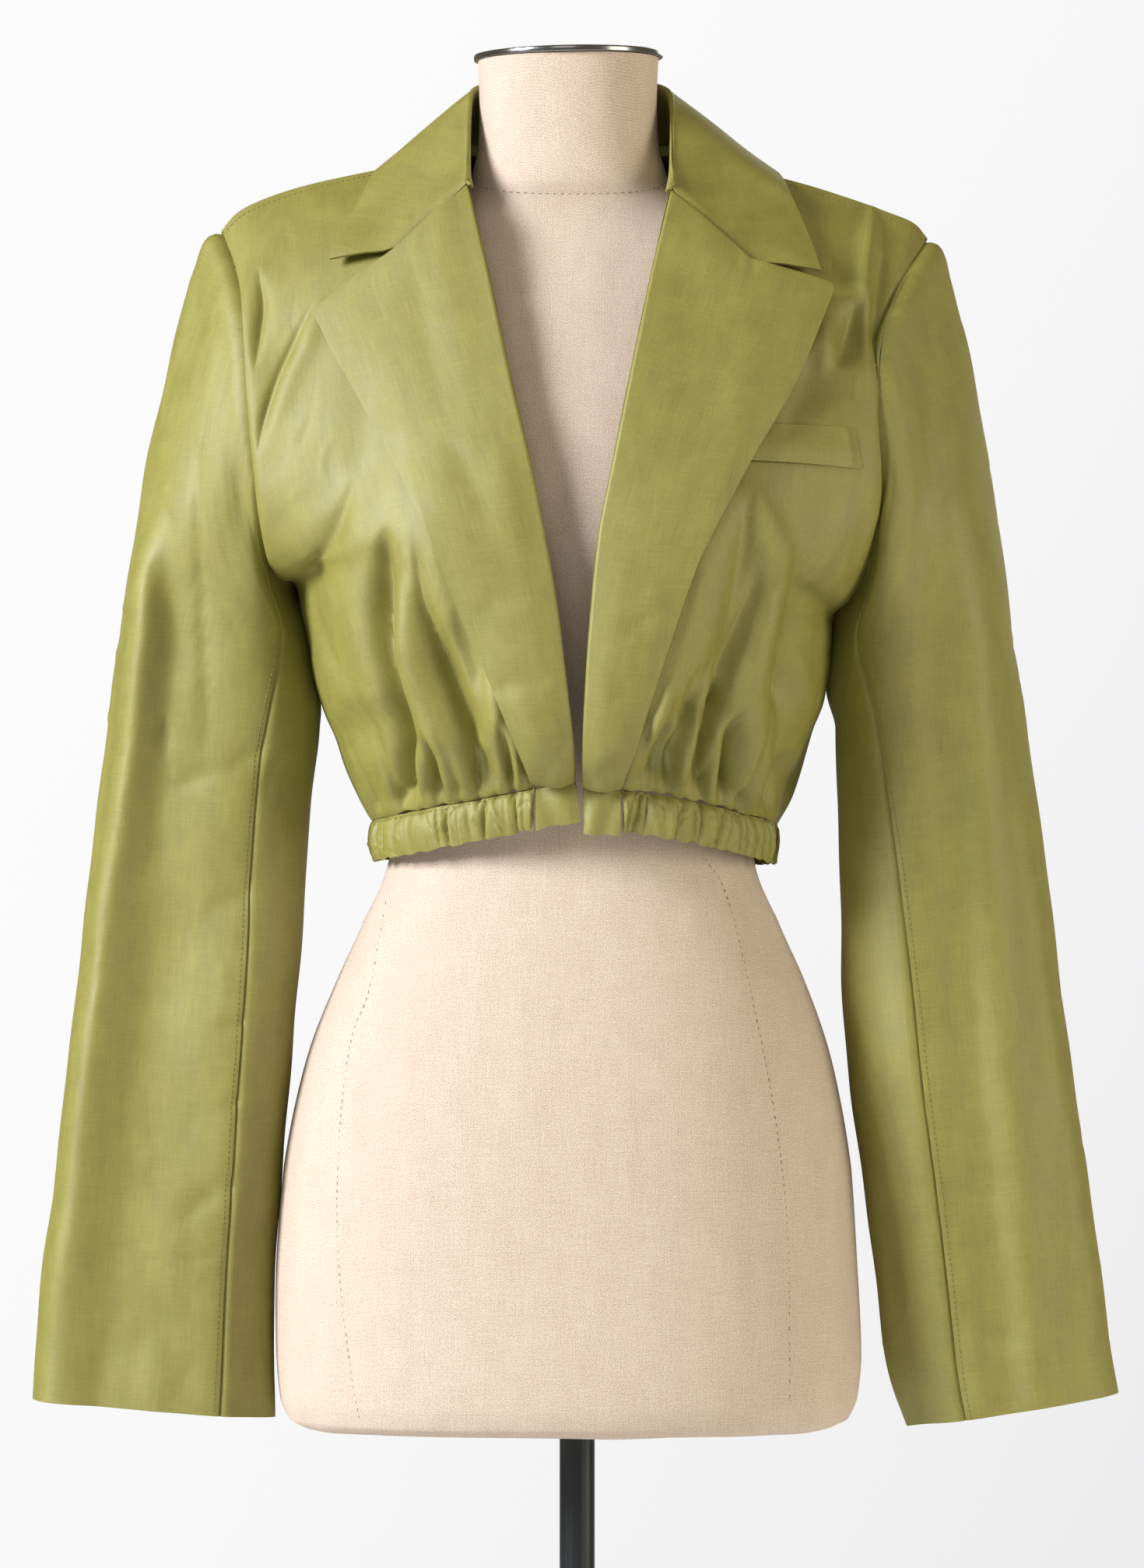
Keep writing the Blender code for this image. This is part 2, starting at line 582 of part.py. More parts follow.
def arm_loop(side, front, back):
    """Armhole loop from the shoulder tip forward and down, under, and up behind."""
    down = front.outer[: ARM_ROWS + 1]
    up = back.outer[side][1:ARM_ROWS][::-1]
    return np.concatenate((down, up))


def loop_rims(loop):
    """For each point of an armhole loop, the direction of its rim, in the loop's own plane."""
    centre = loop.mean(axis=0)
    ahead = np.roll(loop, -1, axis=0) - np.roll(loop, 1, axis=0)
    plane = unit(np.cross(loop - centre, ahead).sum(axis=0))
    rims = np.cross(unit(ahead), plane)
    rims = unit(rims)
    flip = np.sign((rims * (loop - centre)).sum(axis=1, keepdims=True))
    return rims * flip


def build_fronts(fronts, back, paint):
    for side, front in fronts.items():
        grid = front.grid()
        if side == "right":
            grid = grid[:, ::-1]
        normals = grid_normals(grid)
        outer = 0 if side == "right" else -1
        rims = loop_rims(arm_loop(side, front, back))
        normals[: ARM_ROWS + 1, outer] = rims[: ARM_ROWS + 1]
        normals[ARM_ROWS + 1 :, outer] = side_rims(front.outer[ARM_ROWS + 1 :])
        normals[0, :] = unit(normals[0, :] * (1, 0, 1) + (0, 0, 1))
        normals[0, outer] = rims[0]
        normals[-1, :] = waist_rims(grid[-1])
        edges = ("top", "bottom", "first" if side == "right" else "last")
        wall(f"front_{side}", pulled_in(grid, edges), CLOTH, paint, normals)


def side_rims(points):
    return unit((points - (VIEW_AXIS, 0, 0)) * (1, 0, 0))


def waist_rims(points):
    return unit((points - (VIEW_AXIS, 0, 0)) * (1, 1, 0))


def build_back(fronts, back, paint):
    grid = back.grid()[:, ::-1]
    normals = grid_normals(grid)
    for column, side in ((0, "left"), (-1, "right")):
        rims = loop_rims(arm_loop(side, fronts[side], back))
        behind = np.concatenate((rims[:1], rims[ARM_ROWS:][::-1]))
        normals[: ARM_ROWS + 1, column] = behind
        normals[ARM_ROWS + 1 :, column] = side_rims(back.outer[side][ARM_ROWS + 1 :])
    tips = normals[0, 0].copy(), normals[0, -1].copy()
    normals[0, :] = unit(normals[0, :] * (1, 0, 1) + (0, 0, 1))
    normals[0, 0], normals[0, -1] = tips
    normals[-1, :] = waist_rims(grid[-1])
    wall("back", pulled_in(grid, ("top", "bottom", "first", "last")), CLOTH, paint, normals)


def lapel_grid(side, front):
    """Lapel from its top edge down; the roll line is its first column on either side."""
    rows, columns = 15, 7
    top_line = np.array(LAPEL_TOP[side], float)
    share = np.linspace(0, 1, columns)
    lengths = np.concatenate(([0], np.cumsum(np.linalg.norm(np.diff(top_line, axis=0), axis=1))))
    top = np.stack([np.interp(share * lengths[-1], lengths, top_line[:, i]) for i in (0, 1)], axis=1)
    roll_knots = [LAPEL_TOP[side][0]]
    roll_knots += [row[:2] for row in FRONT_EDGE[side][2:-1]]
    roll_knots += [LAPEL_ROLL_END[side]]
    roll = spaced(roll_knots, rows)
    edge = spaced((LAPEL_TOP[side][-1], *LAPEL_EDGE[side]), rows)
    lift = np.interp(share, (0, 0.4, 1), (LAPEL_LIFT["roll"], LAPEL_LIFT["middle"], LAPEL_LIFT["edge"]))
    grid = np.zeros((rows, columns, 3))
    for row in range(rows):
        fade = max(0, 1 - row / 3)
        line = roll[row] + (edge[row] - roll[row]) * share[:, None]
        straight = roll[0] + (edge[0] - roll[0]) * share[:, None]
        line = line + (top - straight) * fade
        for column in range(columns):
            grid[row, column] = front.laid(*line[column], lift[column])
    return grid


def build_lapels(fronts, paint):
    for side, front in fronts.items():
        grid = lapel_grid(side, front)
        if side == "right":
            grid = grid[:, ::-1]
        wall(f"lapel_{side}", pulled_in(grid, ("top",)), CLOTH, paint)


def build_welt(front, paint):
    rows, columns = 3, 9
    grid = np.zeros((rows, columns, 3))
    for row in range(rows):
        down = row / (rows - 1)
        ends = [np.array(WELT["top"][i]) * (1 - down) + np.array(WELT["bottom"][i]) * down for i in (0, 1)]
        for column in range(columns):
            spot = ends[0] + (ends[1] - ends[0]) * column / (columns - 1)
            grid[row, column] = front.laid(*spot, WELT["lift"])
    wall("pocket_welt", grid, CLOTH, paint)


def collar_section(side, front, station):
    """Collar at one station: up the stand, over the fold and down the fall to its edge."""
    seam_rows, fold_rows, edge_rows = zip(*COLLAR[side])
    edge_rows = [row if row[2] is not None else (*row[:2], 0) for row in edge_rows]
    seam = seen(*smooth(seam_rows, station))
    fold = seen(*smooth(fold_rows, station))
    flat_edge = smooth(edge_rows, station)
    edge = seen(*flat_edge)
    if station < 2:
        on_front = front.laid(*flat_edge[:2], COLLAR_LIFT)
        blend = min(1, 2 - station)
        behind = seen(flat_edge[0], flat_edge[1], edge_rows[2][2])
        edge = on_front * blend + behind * (1 - blend)
    outward = unit((edge - fold) * (1, 1, 0))
    start = fold + outward * 2 * COLLAR_FOLD
    ridge = fold + outward * COLLAR_FOLD + (0, 0, COLLAR_FOLD * 0.9)
    middle = start + (edge - start) * 0.5
    if station < 1:
        notch = front.laid(*NOTCH[side], COLLAR_LIFT + 2)
        middle = notch * (1 - station) + middle * station
    bulge = COLLAR_SPREAD / 1000 * min(1, station)
    over = unit(np.array((outward[0], outward[1], 0.9)))
    quarter = start + (middle - start) * 0.5 + over * bulge * 0.8
    late = middle + (edge - middle) * 0.5 + over * bulge * 0.5
    middle = middle + over * bulge
    rise = fold - seam
    return np.array((seam, seam + rise * 0.55, fold, ridge, start, quarter, middle, late, edge))


def build_collar(fronts, paint):
    stations = np.array((0, 0.5, 1, 1.6, 2.2, 2.8, 3.4, 4, 4.6, 5.2, 5.8, 6.4, 7))
    left = [collar_section("left", fronts["left"], station) for station in stations]
    right = [collar_section("right", fronts["right"], station) for station in stations[-2::-1]]
    grid = np.array(left + right).transpose(1, 0, 2)
    wall("collar", grid, COLLAR_CLOTH, paint)


def sleeve_ring(row, columns):
    """Ring of a sleeve, from its outer side forward, round its inner side and back."""
    outer, inner, outer_height, inner_height, half_depth, middle_depth, angle = row
    seam = math.radians(angle)
    half = SLEEVE_COLUMNS // 2
    turn = np.interp(
        columns, (0, FRONT_SEAM_COLUMN, half, 2 * half - FRONT_SEAM_COLUMN, 2 * half),
        (0, seam, math.pi, 2 * math.pi - seam, 2 * math.pi),
    )
    power = 2 / SLEEVE_ROUND
    wide = np.sign(np.cos(turn)) * np.abs(np.cos(turn)) ** power
    deep = np.sign(np.sin(turn)) * np.abs(np.sin(turn)) ** power
    across = (outer + inner) / 2 + (outer - inner) / 2 * wide
    height = (outer_height + inner_height) / 2 + (outer_height - inner_height) / 2 * wide
    depth = middle_depth - half_depth * deep
    ring = seen(across, height, middle_depth)
    ring[..., 1] = depth / 1000
    return ring


def sleeve_grid(side, front, back):
    """Rings from the armhole loop over the cap and down to the hem."""
    columns = np.arange(SLEEVE_COLUMNS)
    loop = arm_loop(side, front, back)
    rows = np.array(SLEEVE[side], float)
    first = sleeve_ring(rows[0], columns)
    second = sleeve_ring(rows[1], columns)
    sign = SIDES[side]
    outward = 0.5 + 0.5 * np.cos(math.pi * columns / (SLEEVE_COLUMNS / 2))
    reach = np.linalg.norm(first - loop, axis=1)
    leave = np.stack((sign * outward, 0 * reach, -1.3 * (1 - outward)), axis=1)
    leave = unit(leave) * (reach * (0.3 - 0.1 * outward))[:, None]
    arrive = unit(second - first) * (reach * 0.42)[:, None]
    rings = []
    for t in CAP_RINGS:
        a, b, c, d = loop, loop + leave, first - arrive, first
        rings.append(a * (1 - t) ** 3 + 3 * b * t * (1 - t) ** 2 + 3 * c * t * t * (1 - t) + d * t**3)
    outline = spaced(seen(*np.transpose(CAP_LINE[side]), rows[0][5]), 201)
    for t, ring in zip(CAP_RINGS[1:], rings[1:]):
        spot = smooth(outline, 200 * t)
        ring += (spot - ring[0]) * (1, 0, 1) * (outward**1.3)[:, None]
    for place in np.linspace(0, len(rows) - 1, 13)[1:]:
        ring = sleeve_ring(smooth(rows, place), columns)
        for column, width, deep in SLEEVE_TROUGHS[side]:
            dip = deep / 1000 * np.exp(-(((columns - column) / width) ** 2))
            ring[:, 1] += dip * math.sin(math.pi * place / (len(rows) - 1))
        rings.append(ring)
    return np.array(rings)


def build_sleeves(fronts, back, paint):
    """Two pieces a sleeve: the upper from the front seam over the outer side, and the under piece."""
    for side, front in fronts.items():
        rings = sleeve_grid(side, front, back)
        if side == "left":
            rings = rings[:, ::-1]
        normals = grid_normals(rings, closed=True)
        rims = loop_rims(arm_loop(side, front, back))
        normals[0] = rims if side == "right" else rims[::-1]
        last = SLEEVE_COLUMNS - FRONT_SEAM_COLUMN
        if side == "right":
            upper = list(range(last, SLEEVE_COLUMNS)) + list(range(FRONT_SEAM_COLUMN + 1))
            under = list(range(FRONT_SEAM_COLUMN, last + 1))
        else:
            first, final = SLEEVE_COLUMNS - 1 - last, SLEEVE_COLUMNS - 1 - FRONT_SEAM_COLUMN
            upper = list(range(final, SLEEVE_COLUMNS)) + list(range(first + 1))
            under = list(range(first, final + 1))
        for name, columns in (("upper", upper), ("under", under)):
            grid = pulled_in(rings[:, columns], ("top", "first", "last"))
            wall(f"sleeve_{name}_{side}", grid, CLOTH, paint, normals[:, columns])


def band_point(section, share, tuck):
    """Point of the band below a point of the waist seam, share of the way down."""
    out = unit((section - (VIEW_AXIS, 0, 0)) * (1, 1, 0))
    curve = 0.0012 * np.sin(math.pi * share)
    return section - (0, 0, share * BAND_HEIGHT) + out * (curve - BAND_TUCK * share - tuck)


def band_grid(curve, places_along, pleats, rows):
    """Rows of the band under a waist curve; each pleat is a valley between two crests."""
    grid = np.zeros((rows, len(places_along), 3))
    for column, place in enumerate(places_along):
        tuck = PLEAT_DEPTH if place in pleats else 0.0
        for row in range(rows):
            share = row / (rows - 1)
            depth = tuck * (1, 0.9, 1, 0.8)[row % 4]
            grid[row, column] = band_point(curve(place), share, depth)
    return grid


def with_crests(valleys, first, last):
    """Valleys, the crests between them, and both ends, in order."""
    valleys = sorted(valleys)
    stops = [first, *valleys, last]
    crests = [(a + b) / 2 for a, b in zip(stops[1:], stops[2:-1])]
    ends = [first, (first + stops[1]) / 2, (stops[-2] + last) / 2, last]
    return sorted(set([*valleys, *crests, *ends]))


def build_band(fronts, back, paint):
    rows = 4
    for side, front in fronts.items():
        valleys = [front.column_at_waist(across) for across in PLEATS[side]]
        start = front.column_at_waist(TABS[side]["outer"] + SIDES[side] * 0.4)
        columns = with_crests(valleys, start, 1)
        plain = plain_waist(front)
        grid = band_grid(plain, columns, valleys, rows)
        if side == "right":
            grid = grid[:, ::-1]
        normals = grid_normals(grid)
        normals[0] = waist_rims(grid[0])
        outer = 0 if side == "right" else -1
        normals[:, outer] = side_rims(grid[:, outer])
        edges = ("top", "first" if side == "right" else "last")
        wall(f"waistband_{side}", pulled_in(grid, edges), CLOTH, paint, normals)
    valleys = [-1 + 2 * (i + 0.5 + 0.18 * math.sin(2.4 * i)) / BACK_PLEATS for i in range(BACK_PLEATS)]
    columns = with_crests(valleys, -1, 1)
    grid = band_grid(back_waist(back), columns, valleys, rows)[:, ::-1]
    normals = grid_normals(grid)
    normals[0] = waist_rims(grid[0])
    for column in (0, -1):
        normals[:, column] = side_rims(grid[:, column])
    wall("waistband_back", pulled_in(grid, ("top", "first", "last")), CLOTH, paint, normals)


def plain_waist(front):
    """The front's waist seam with no gathers in it."""
    kept, front.gathers = front.gathers, []
    fine = np.linspace(0, 1, 81)
    line = front.point(fine, float(front.rows))
    front.gathers = kept

    def curve(u):
        return np.array([np.interp(u, fine, line[:, i]) for i in range(3)])

    return curve


def back_waist(back):
    fine = np.linspace(0, 1, 81)
    lines = {}
    for side in SIDES:
        line = back.half(side, fine, float(back.rows))
        lines[side] = line - back.gathered(side, fine, np.full(81, float(back.rows)), line)

    def curve(u):
        line = lines["right" if u < 0 else "left"]
        return np.array([np.interp(abs(u), fine, line[:, i]) for i in range(3)])

    return curve


def build_tabs(fronts, paint):
    """Flat ends of the band at the centre front."""
    for side, front in fronts.items():
        tab = TABS[side]
        plain = plain_waist(front)
        rows, columns = 4, 5
        grid = np.zeros((rows, columns, 3))
        for row in range(rows):
            share = row / (rows - 1)
            inner = tab["inner"] + (tab["low_inner"] - tab["inner"]) * share
            for column in range(columns):
                across = inner + (tab["outer"] - inner) * column / (columns - 1)
                at = front.column_at_waist(across)
                spot = plain(at) - (0, tab["lift"] / 1000 * share, tab["height"] / 1000 * share)
                spot[0] = VIEW_AXIS + across / 1000 * 0.975
                grid[row, column] = spot
        if side == "right":
            grid = grid[:, ::-1]
        wall(f"band_tab_{side}", pulled_in(grid, ("top",)), COLLAR_CLOTH, paint)


def build_form(paint):
    """Torso of the dress form: a loft of superellipse sections from the neck down."""
    turn = np.linspace(0, 2 * math.pi, FORM_COLUMNS, endpoint=False)
    power = 2 / FORM_ROUND
    wide = np.sign(np.cos(turn)) * np.abs(np.cos(turn)) ** power
    deep = np.sign(np.sin(turn)) * np.abs(np.sin(turn)) ** power
    rings = []
    for height, half_width, front, back, across in FORM:
        x = VIEW_AXIS + (across + half_width * wide) / 1000
        y = ((front + back) / 2 + (back - front) / 2 * deep) / 1000
        z = np.full(FORM_COLUMNS, height / 1000)
        if height == FORM[0][0]:
            z = z + NECK_TILT * (x - VIEW_AXIS)
        rings.append(np.stack((x, y, z), axis=1))
    points = np.concatenate(rings)
    count = FORM_COLUMNS
    faces = []
    for row in range(len(rings) - 1):
        for column in range(count):
            after = (column + 1) % count
            top, low = row * count, (row + 1) * count
            faces.append((top + column, low + column, low + after, top + after))
    faces.append(tuple(range(count)))
    faces.append(tuple(reversed(range(len(points) - count, len(points)))))
    add_mesh("form_torso", points, faces, paint)


def turned(name, profile, paint, steps=48):
    """Solid of revolution from a profile of radius and height, outer side top to bottom."""
    mesh = bpy.data.meshes.new(name)
    points = [(radius, 0, height) for radius, height in profile]
    mesh.from_pydata(points, [(i, i + 1) for i in range(len(points) - 1)], [])
    mesh.materials.append(paint)
    part = bpy.data.objects.new(name, mesh)
    collection.objects.link(part)
    screw = part.modifiers.new("turn", "SCREW")
    screw.steps = steps
    screw.render_steps = steps
    screw.use_merge_vertices = True
    screw.merge_threshold = 0.00001
    return part


def build_stand(chrome, black):
    edge = 0.0006
    half = CAP_THICKNESS / 2
    profile = ((0, half), (CAP_RADIUS - edge, half), (CAP_RADIUS, half - edge), (CAP_RADIUS, edge - half))
    profile += ((CAP_RADIUS - edge, -half), (0, -half))
    cap = turned("neck_cap", profile, chrome)
    across, depth = CAP_CENTRE
    height = FORM[0][0] / 1000 + NECK_TILT * across / 1000 + half + SEAM_GAP
    cap.location = (VIEW_AXIS + across / 1000, depth / 1000, height)
    cap.rotation_euler = (0, -math.atan(NECK_TILT), 0)
    top = FORM[-1][0] / 1000 - SEAM_GAP
    pole_low = BASE_THICKNESS + HUB_HEIGHT + SEAM_GAP
    turned("stand_pole", ((0, top), (POLE_RADIUS, top), (POLE_RADIUS, pole_low), (0, pole_low)), black, 24)
    slope = 0.002
    profile = (
        (0, BASE_THICKNESS + HUB_HEIGHT), (HUB_RADIUS - slope, BASE_THICKNESS + HUB_HEIGHT),
        (HUB_RADIUS, BASE_THICKNESS + HUB_HEIGHT - slope), (HUB_RADIUS, BASE_THICKNESS + slope),
        (HUB_RADIUS + slope, BASE_THICKNESS), (BASE_RADIUS - slope, BASE_THICKNESS),
        (BASE_RADIUS, BASE_THICKNESS - slope), (BASE_RADIUS, 0), (0, 0),
    )
    turned("stand_base", profile, black)


def main():
    olive = material("olive_cotton", (0.29, 0.27, 0.075), 0.42)
    linen = material("linen", (0.78, 0.60, 0.46), 0.85)
    chrome = material("polished_metal", (0.75, 0.76, 0.78), 0.15, 1.0)
    black = material("dark_metal", (0.035, 0.038, 0.045), 0.4, 0.6)
    fronts = {side: Front(side) for side in SIDES}
    back = Back()
    build_fronts(fronts, back, olive)
    build_back(fronts, back, olive)
    build_lapels(fronts, olive)
    build_welt(fronts["left"], olive)
    build_collar(fronts, olive)
    build_sleeves(fronts, back, olive)
    build_band(fronts, back, olive)
    build_tabs(fronts, olive)
    build_form(linen)
    build_stand(chrome, black)


for old in list(bpy.data.objects):
    bpy.data.objects.remove(old)
collection = bpy.data.collections.new("blazer_on_dress_form")
bpy.context.scene.collection.children.link(collection)
main()
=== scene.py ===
# Cropped olive blazer on a dress form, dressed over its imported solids.
# "right" and "left" are the wearer's, so the right half lies at -X and the front faces -Y.
import math

import bpy
import bmesh
import numpy as np
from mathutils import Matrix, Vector


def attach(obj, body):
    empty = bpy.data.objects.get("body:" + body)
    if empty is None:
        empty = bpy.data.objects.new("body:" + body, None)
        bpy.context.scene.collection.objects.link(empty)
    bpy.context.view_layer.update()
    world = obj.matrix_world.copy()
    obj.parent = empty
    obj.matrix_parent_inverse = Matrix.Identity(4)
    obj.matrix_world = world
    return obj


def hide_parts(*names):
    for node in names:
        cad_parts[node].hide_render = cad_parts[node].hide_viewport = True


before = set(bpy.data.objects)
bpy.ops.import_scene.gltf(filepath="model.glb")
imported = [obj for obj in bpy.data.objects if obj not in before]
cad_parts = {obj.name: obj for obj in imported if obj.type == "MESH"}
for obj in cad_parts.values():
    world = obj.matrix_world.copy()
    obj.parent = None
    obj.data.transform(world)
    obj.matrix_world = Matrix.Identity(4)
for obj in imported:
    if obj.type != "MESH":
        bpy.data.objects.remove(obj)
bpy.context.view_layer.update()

# The eye that outlines and creases are measured from; outlines are millimetres as it sees them,
# creases are pixels of its 1470 x 2014 picture.
eye = {"distance": 4.2, "height": 1.134, "axis": -0.0029, "pixel": 0.44, "pixelX": 735, "pixelTop": 61,
    "top": 1550}
cloth = {"thickness": 0.0014, "edge": 0.00045}
sides = {"right": -1, "left": 1}


def seen(across, height, depth):
    depth = np.asarray(depth, float) / 1000
    nearer = (eye["distance"] + depth) / eye["distance"]
    x = eye["axis"] + np.asarray(across, float) / 1000 * nearer
    z = eye["height"] + (np.asarray(height, float) / 1000 - eye["height"]) * nearer
    return np.stack(np.broadcast_arrays(x, depth, z), axis=-1)


def asSeen(point):
    nearer = (eye["distance"] + point[..., 1]) / eye["distance"]
    across = (point[..., 0] - eye["axis"]) / nearer * 1000
    height = (eye["height"] + (point[..., 2] - eye["height"]) / nearer) * 1000
    return np.stack((across, height), axis=-1)


def fromPixels(spots):
    spots = np.asarray(spots, float)
    across = (spots[..., 0] - eye["pixelX"]) * eye["pixel"]
    height = eye["top"] - (spots[..., 1] - eye["pixelTop"]) * eye["pixel"]
    return np.stack((across, height), axis=-1)


def smooth(knots, at):
    # Catmull-Rom curve through the knots, read at places counted in knots
    knots = np.asarray(knots, float)
    at = np.clip(np.asarray(at, float), 0, len(knots) - 1)
    low = np.minimum(at.astype(int), len(knots) - 2)
    t = (at - low).reshape(at.shape + (1,) * (knots.ndim - 1))
    here, there = knots[low], knots[low + 1]
    isFirst = (low == 0).reshape(t.shape)
    isLast = (low + 2 > len(knots) - 1).reshape(t.shape)
    before = np.where(isFirst, 2 * here - there, knots[np.maximum(low - 1, 0)])
    after = np.where(isLast, 2 * there - here, knots[np.minimum(low + 2, len(knots) - 1)])
    return 0.5 * (
        2 * here
        + (there - before) * t
        + (2 * before - 5 * here + 4 * there - after) * t**2
        + (3 * here - before - 3 * there + after) * t**3
    )


def runLength(points):
    return np.concatenate(([0], np.cumsum(np.linalg.norm(np.diff(points, axis=0), axis=1))))


def spaced(knots, count):
    fine = smooth(knots, np.linspace(0, len(knots) - 1, 40 * len(knots)))
    run = runLength(fine)
    at = np.linspace(0, run[-1], count)
    return np.stack([np.interp(at, run, fine[:, i]) for i in range(fine.shape[1])], axis=1)


def byRow(table, rows):
    table = np.asarray(table, float)
    return np.interp(rows, table[:, 0], table[:, 1])


def places(rows):
    rows = np.asarray(rows, float)
    return seen(rows[:, 0], rows[:, 1], rows[:, 2])


def unit(vectors):
    return vectors / np.maximum(np.linalg.norm(vectors, axis=-1, keepdims=True), 1e-9)


def outwards(line):
    # level directions away from the form's axis
    return unit((line - (eye["axis"], 0, 0)) * (1, 1, 0))


def runs(grid, axis):
    # distances along the rows or columns of a grid, from its first point
    steps = np.linalg.norm(np.diff(grid, axis=axis), axis=2).cumsum(axis=axis)
    return np.concatenate((np.zeros_like(steps.take([0], axis=axis)), steps), axis=axis)


def roundedRing(turn, power):
    # x and y of a rounded rectangle that is 2 wide and 2 deep
    wide = np.sign(np.cos(turn)) * np.abs(np.cos(turn)) ** (2 / power)
    deep = np.sign(np.sin(turn)) * np.abs(np.sin(turn)) ** (2 / power)
    return wide, deep


def gridNormals(grid):
    # rows run down and columns to the eye's right, as seen from outside
    return unit(np.cross(np.gradient(grid, axis=0), np.gradient(grid, axis=1)))


def ease(value, low, high):
    t = np.clip((value - low) / (high - low), 0, 1)
    return t * t * (3 - 2 * t)


# ---- the garment's surfaces, from the same tables as its solids ----
armholeFront = {
    "right": (
        (-198.4, 1446.6, 4), (-192.3, 1430.3, -20), (-188.3, 1413.2, -38), (-186.1, 1389.8, -52),
        (-184.4, 1361.2, -63), (-182.2, 1330.4, -68), (-178.6, 1297.4, -66), (-173.4, 1265.3, -50),
        (-168.5, 1253.4, -34), (-162.4, 1248.6, -17), (-156.2, 1246.4, 0),
    ),
    "left": (
        (201.1, 1442.2, 4), (190.5, 1425.0, -20), (181.7, 1406.1, -40), (176.9, 1386.8, -53),
        (174.7, 1361.2, -63), (174.2, 1330.4, -68), (174.7, 1299.6, -68), (171.2, 1268.8, -56),
        (164.1, 1249.0, -38), (156.2, 1237.2, -19), (147.0, 1230.1, 0),
    ),
}
shoulderLine = {
    "right": (
        (-61.0, 1491.0, 2), (-117.5, 1479.6, 3), (-149.2, 1472.6, 4), (-172.9, 1465.1, 4),
        (-188.8, 1457.2, 4), (-198.4, 1446.6, 4),
    ),
    "left": (
        (58.5, 1491.0, 2), (121.9, 1475.6, 3), (153.6, 1466.1, 4), (178.0, 1457.4, 4),
        (193.2, 1451.0, 4), (201.1, 1442.2, 4),
    ),
}
capLine = {
    "right": (
        (-198.4, 1446.6), (-204.6, 1443.5), (-212.5, 1428.0), (-218.7, 1409.6), (-228.8, 1374.4),
        (-239.4, 1321.6), (-248.4, 1268.0), (-256.1, 1216.0),
    ),
    "left": (
        (201.1, 1442.2), (207.5, 1438.7), (213.4, 1427.2), (218.2, 1409.6), (226.2, 1374.4),
        (234.5, 1321.6), (242.4, 1268.0), (249.5, 1212.0),
    ),
}
armholeBack = (
    (0, 0, 4), (3, 0, 30), (5, 0, 48), (6, 0, 60), (6, 0, 68),
    (6, 0, 71), (4, 0, 68), (2, 0, 54), (1, 0, 36), (0.5, 0, 18), (0, 0, 0),
)
sideSeam = {
    "right": (
        (-156.2, 1246.4, 0), (-149.6, 1216.0, 1), (-145.0, 1190.0, 2), (-134.2, 1163.2, 2),
        (-129.0, 1145.6, 2), (-121.4, 1128.0, 1), (-113.1, 1113.1, 0),
    ),
    "left": (
        (147.0, 1230.1, 0), (146.6, 1212.0, 1), (144.0, 1192.0, 2), (137.0, 1167.0, 2),
        (131.5, 1148.0, 2), (125.4, 1128.0, 1), (116.2, 1111.3, 0),
    ),
}
rollLine = {
    "right": (
        (-61.0, 1491.0, 2), (-57.2, 1468.6, -50), (-44.9, 1414.0, -88), (-32.6, 1356.8, -114),
        (-23.3, 1317.2, -127), (-15.4, 1277.6, -133), (-8.0, 1235.0, -136), (-3.2, 1195.0, -136),
        (0.4, 1163.2, -131), (1.8, 1148.7, -122), (1.8, 1135.5, -106),
    ),
    "left": (
        (58.5, 1491.0, 2), (54.1, 1465.5, -50), (42.7, 1414.0, -88), (30.8, 1356.8, -114),
        (22.0, 1312.8, -127), (15.0, 1277.6, -133), (10.5, 1235.0, -136), (7.6, 1195.0, -136),
        (6.0, 1163.2, -131), (5.6, 1147.0, -122), (5.6, 1131.4, -106),
    ),
}
frontRound = ((0, 1.25), (2, 1.6), (5, 2.05), (10, 2.25), (18, 2.2))
backRound = ((0, 1.5), (2, 1.9), (5, 2.2), (10, 2.3), (18, 2.1))
waistDrop = {"right": 1.0, "left": 1.6}
bust = {"across": 86, "height": 1262, "forward": 9, "wide": 46, "tall": 62}
centreBack = (
    (1491, 68), (1465, 79), (1440, 88), (1405, 98), (1360, 106), (1315, 109),
    (1270, 108), (1225, 105), (1180, 103), (1150, 104), (1125, 99), (1101, 86),
)
rowsDown = {"arm": 10, "low": 8}
armShare = {"front": 0.63, "back": 0.62}
allRows = rowsDown["arm"] + rowsDown["low"]


def seamAt(side, along):
    line = places(smooth(shoulderLine[side], np.linspace(0, len(shoulderLine[side]) - 1, 61)))
    share = (line[:, 0] - line[0, 0]) / (line[-1, 0] - line[0, 0])
    return np.stack([np.interp(along, share, line[:, i]) for i in range(3)], axis=-1)


def shoulderRise(side, along):
    neck, tip = seamAt(side, 0.0), seamAt(side, 1.0)
    along = np.asarray(along, float)
    return seamAt(side, along) - (neck + (tip - neck) * along[..., None])


def outerEdge(side, behind=False):
    arm = np.array(armholeFront[side], float)
    if behind:
        shift = np.array(armholeBack, float)
        arm[:, 0] += sides[side] * shift[:, 0]
        arm[:, 1] += shift[:, 1]
        arm[:, 2] = shift[:, 2]
    low = spaced(places(sideSeam[side]), rowsDown["low"] + 1)
    return np.concatenate((places(arm), low[1:]))


def panelRows(line, share):
    # points down a line: the armhole's rows take this share of its length
    turn = 200 * share
    at = np.concatenate((
        np.linspace(0, turn, rowsDown["arm"] + 1), np.linspace(turn, 200, rowsDown["low"] + 1)[1:],
    ))
    return smooth(spaced(places(line), 201), at)


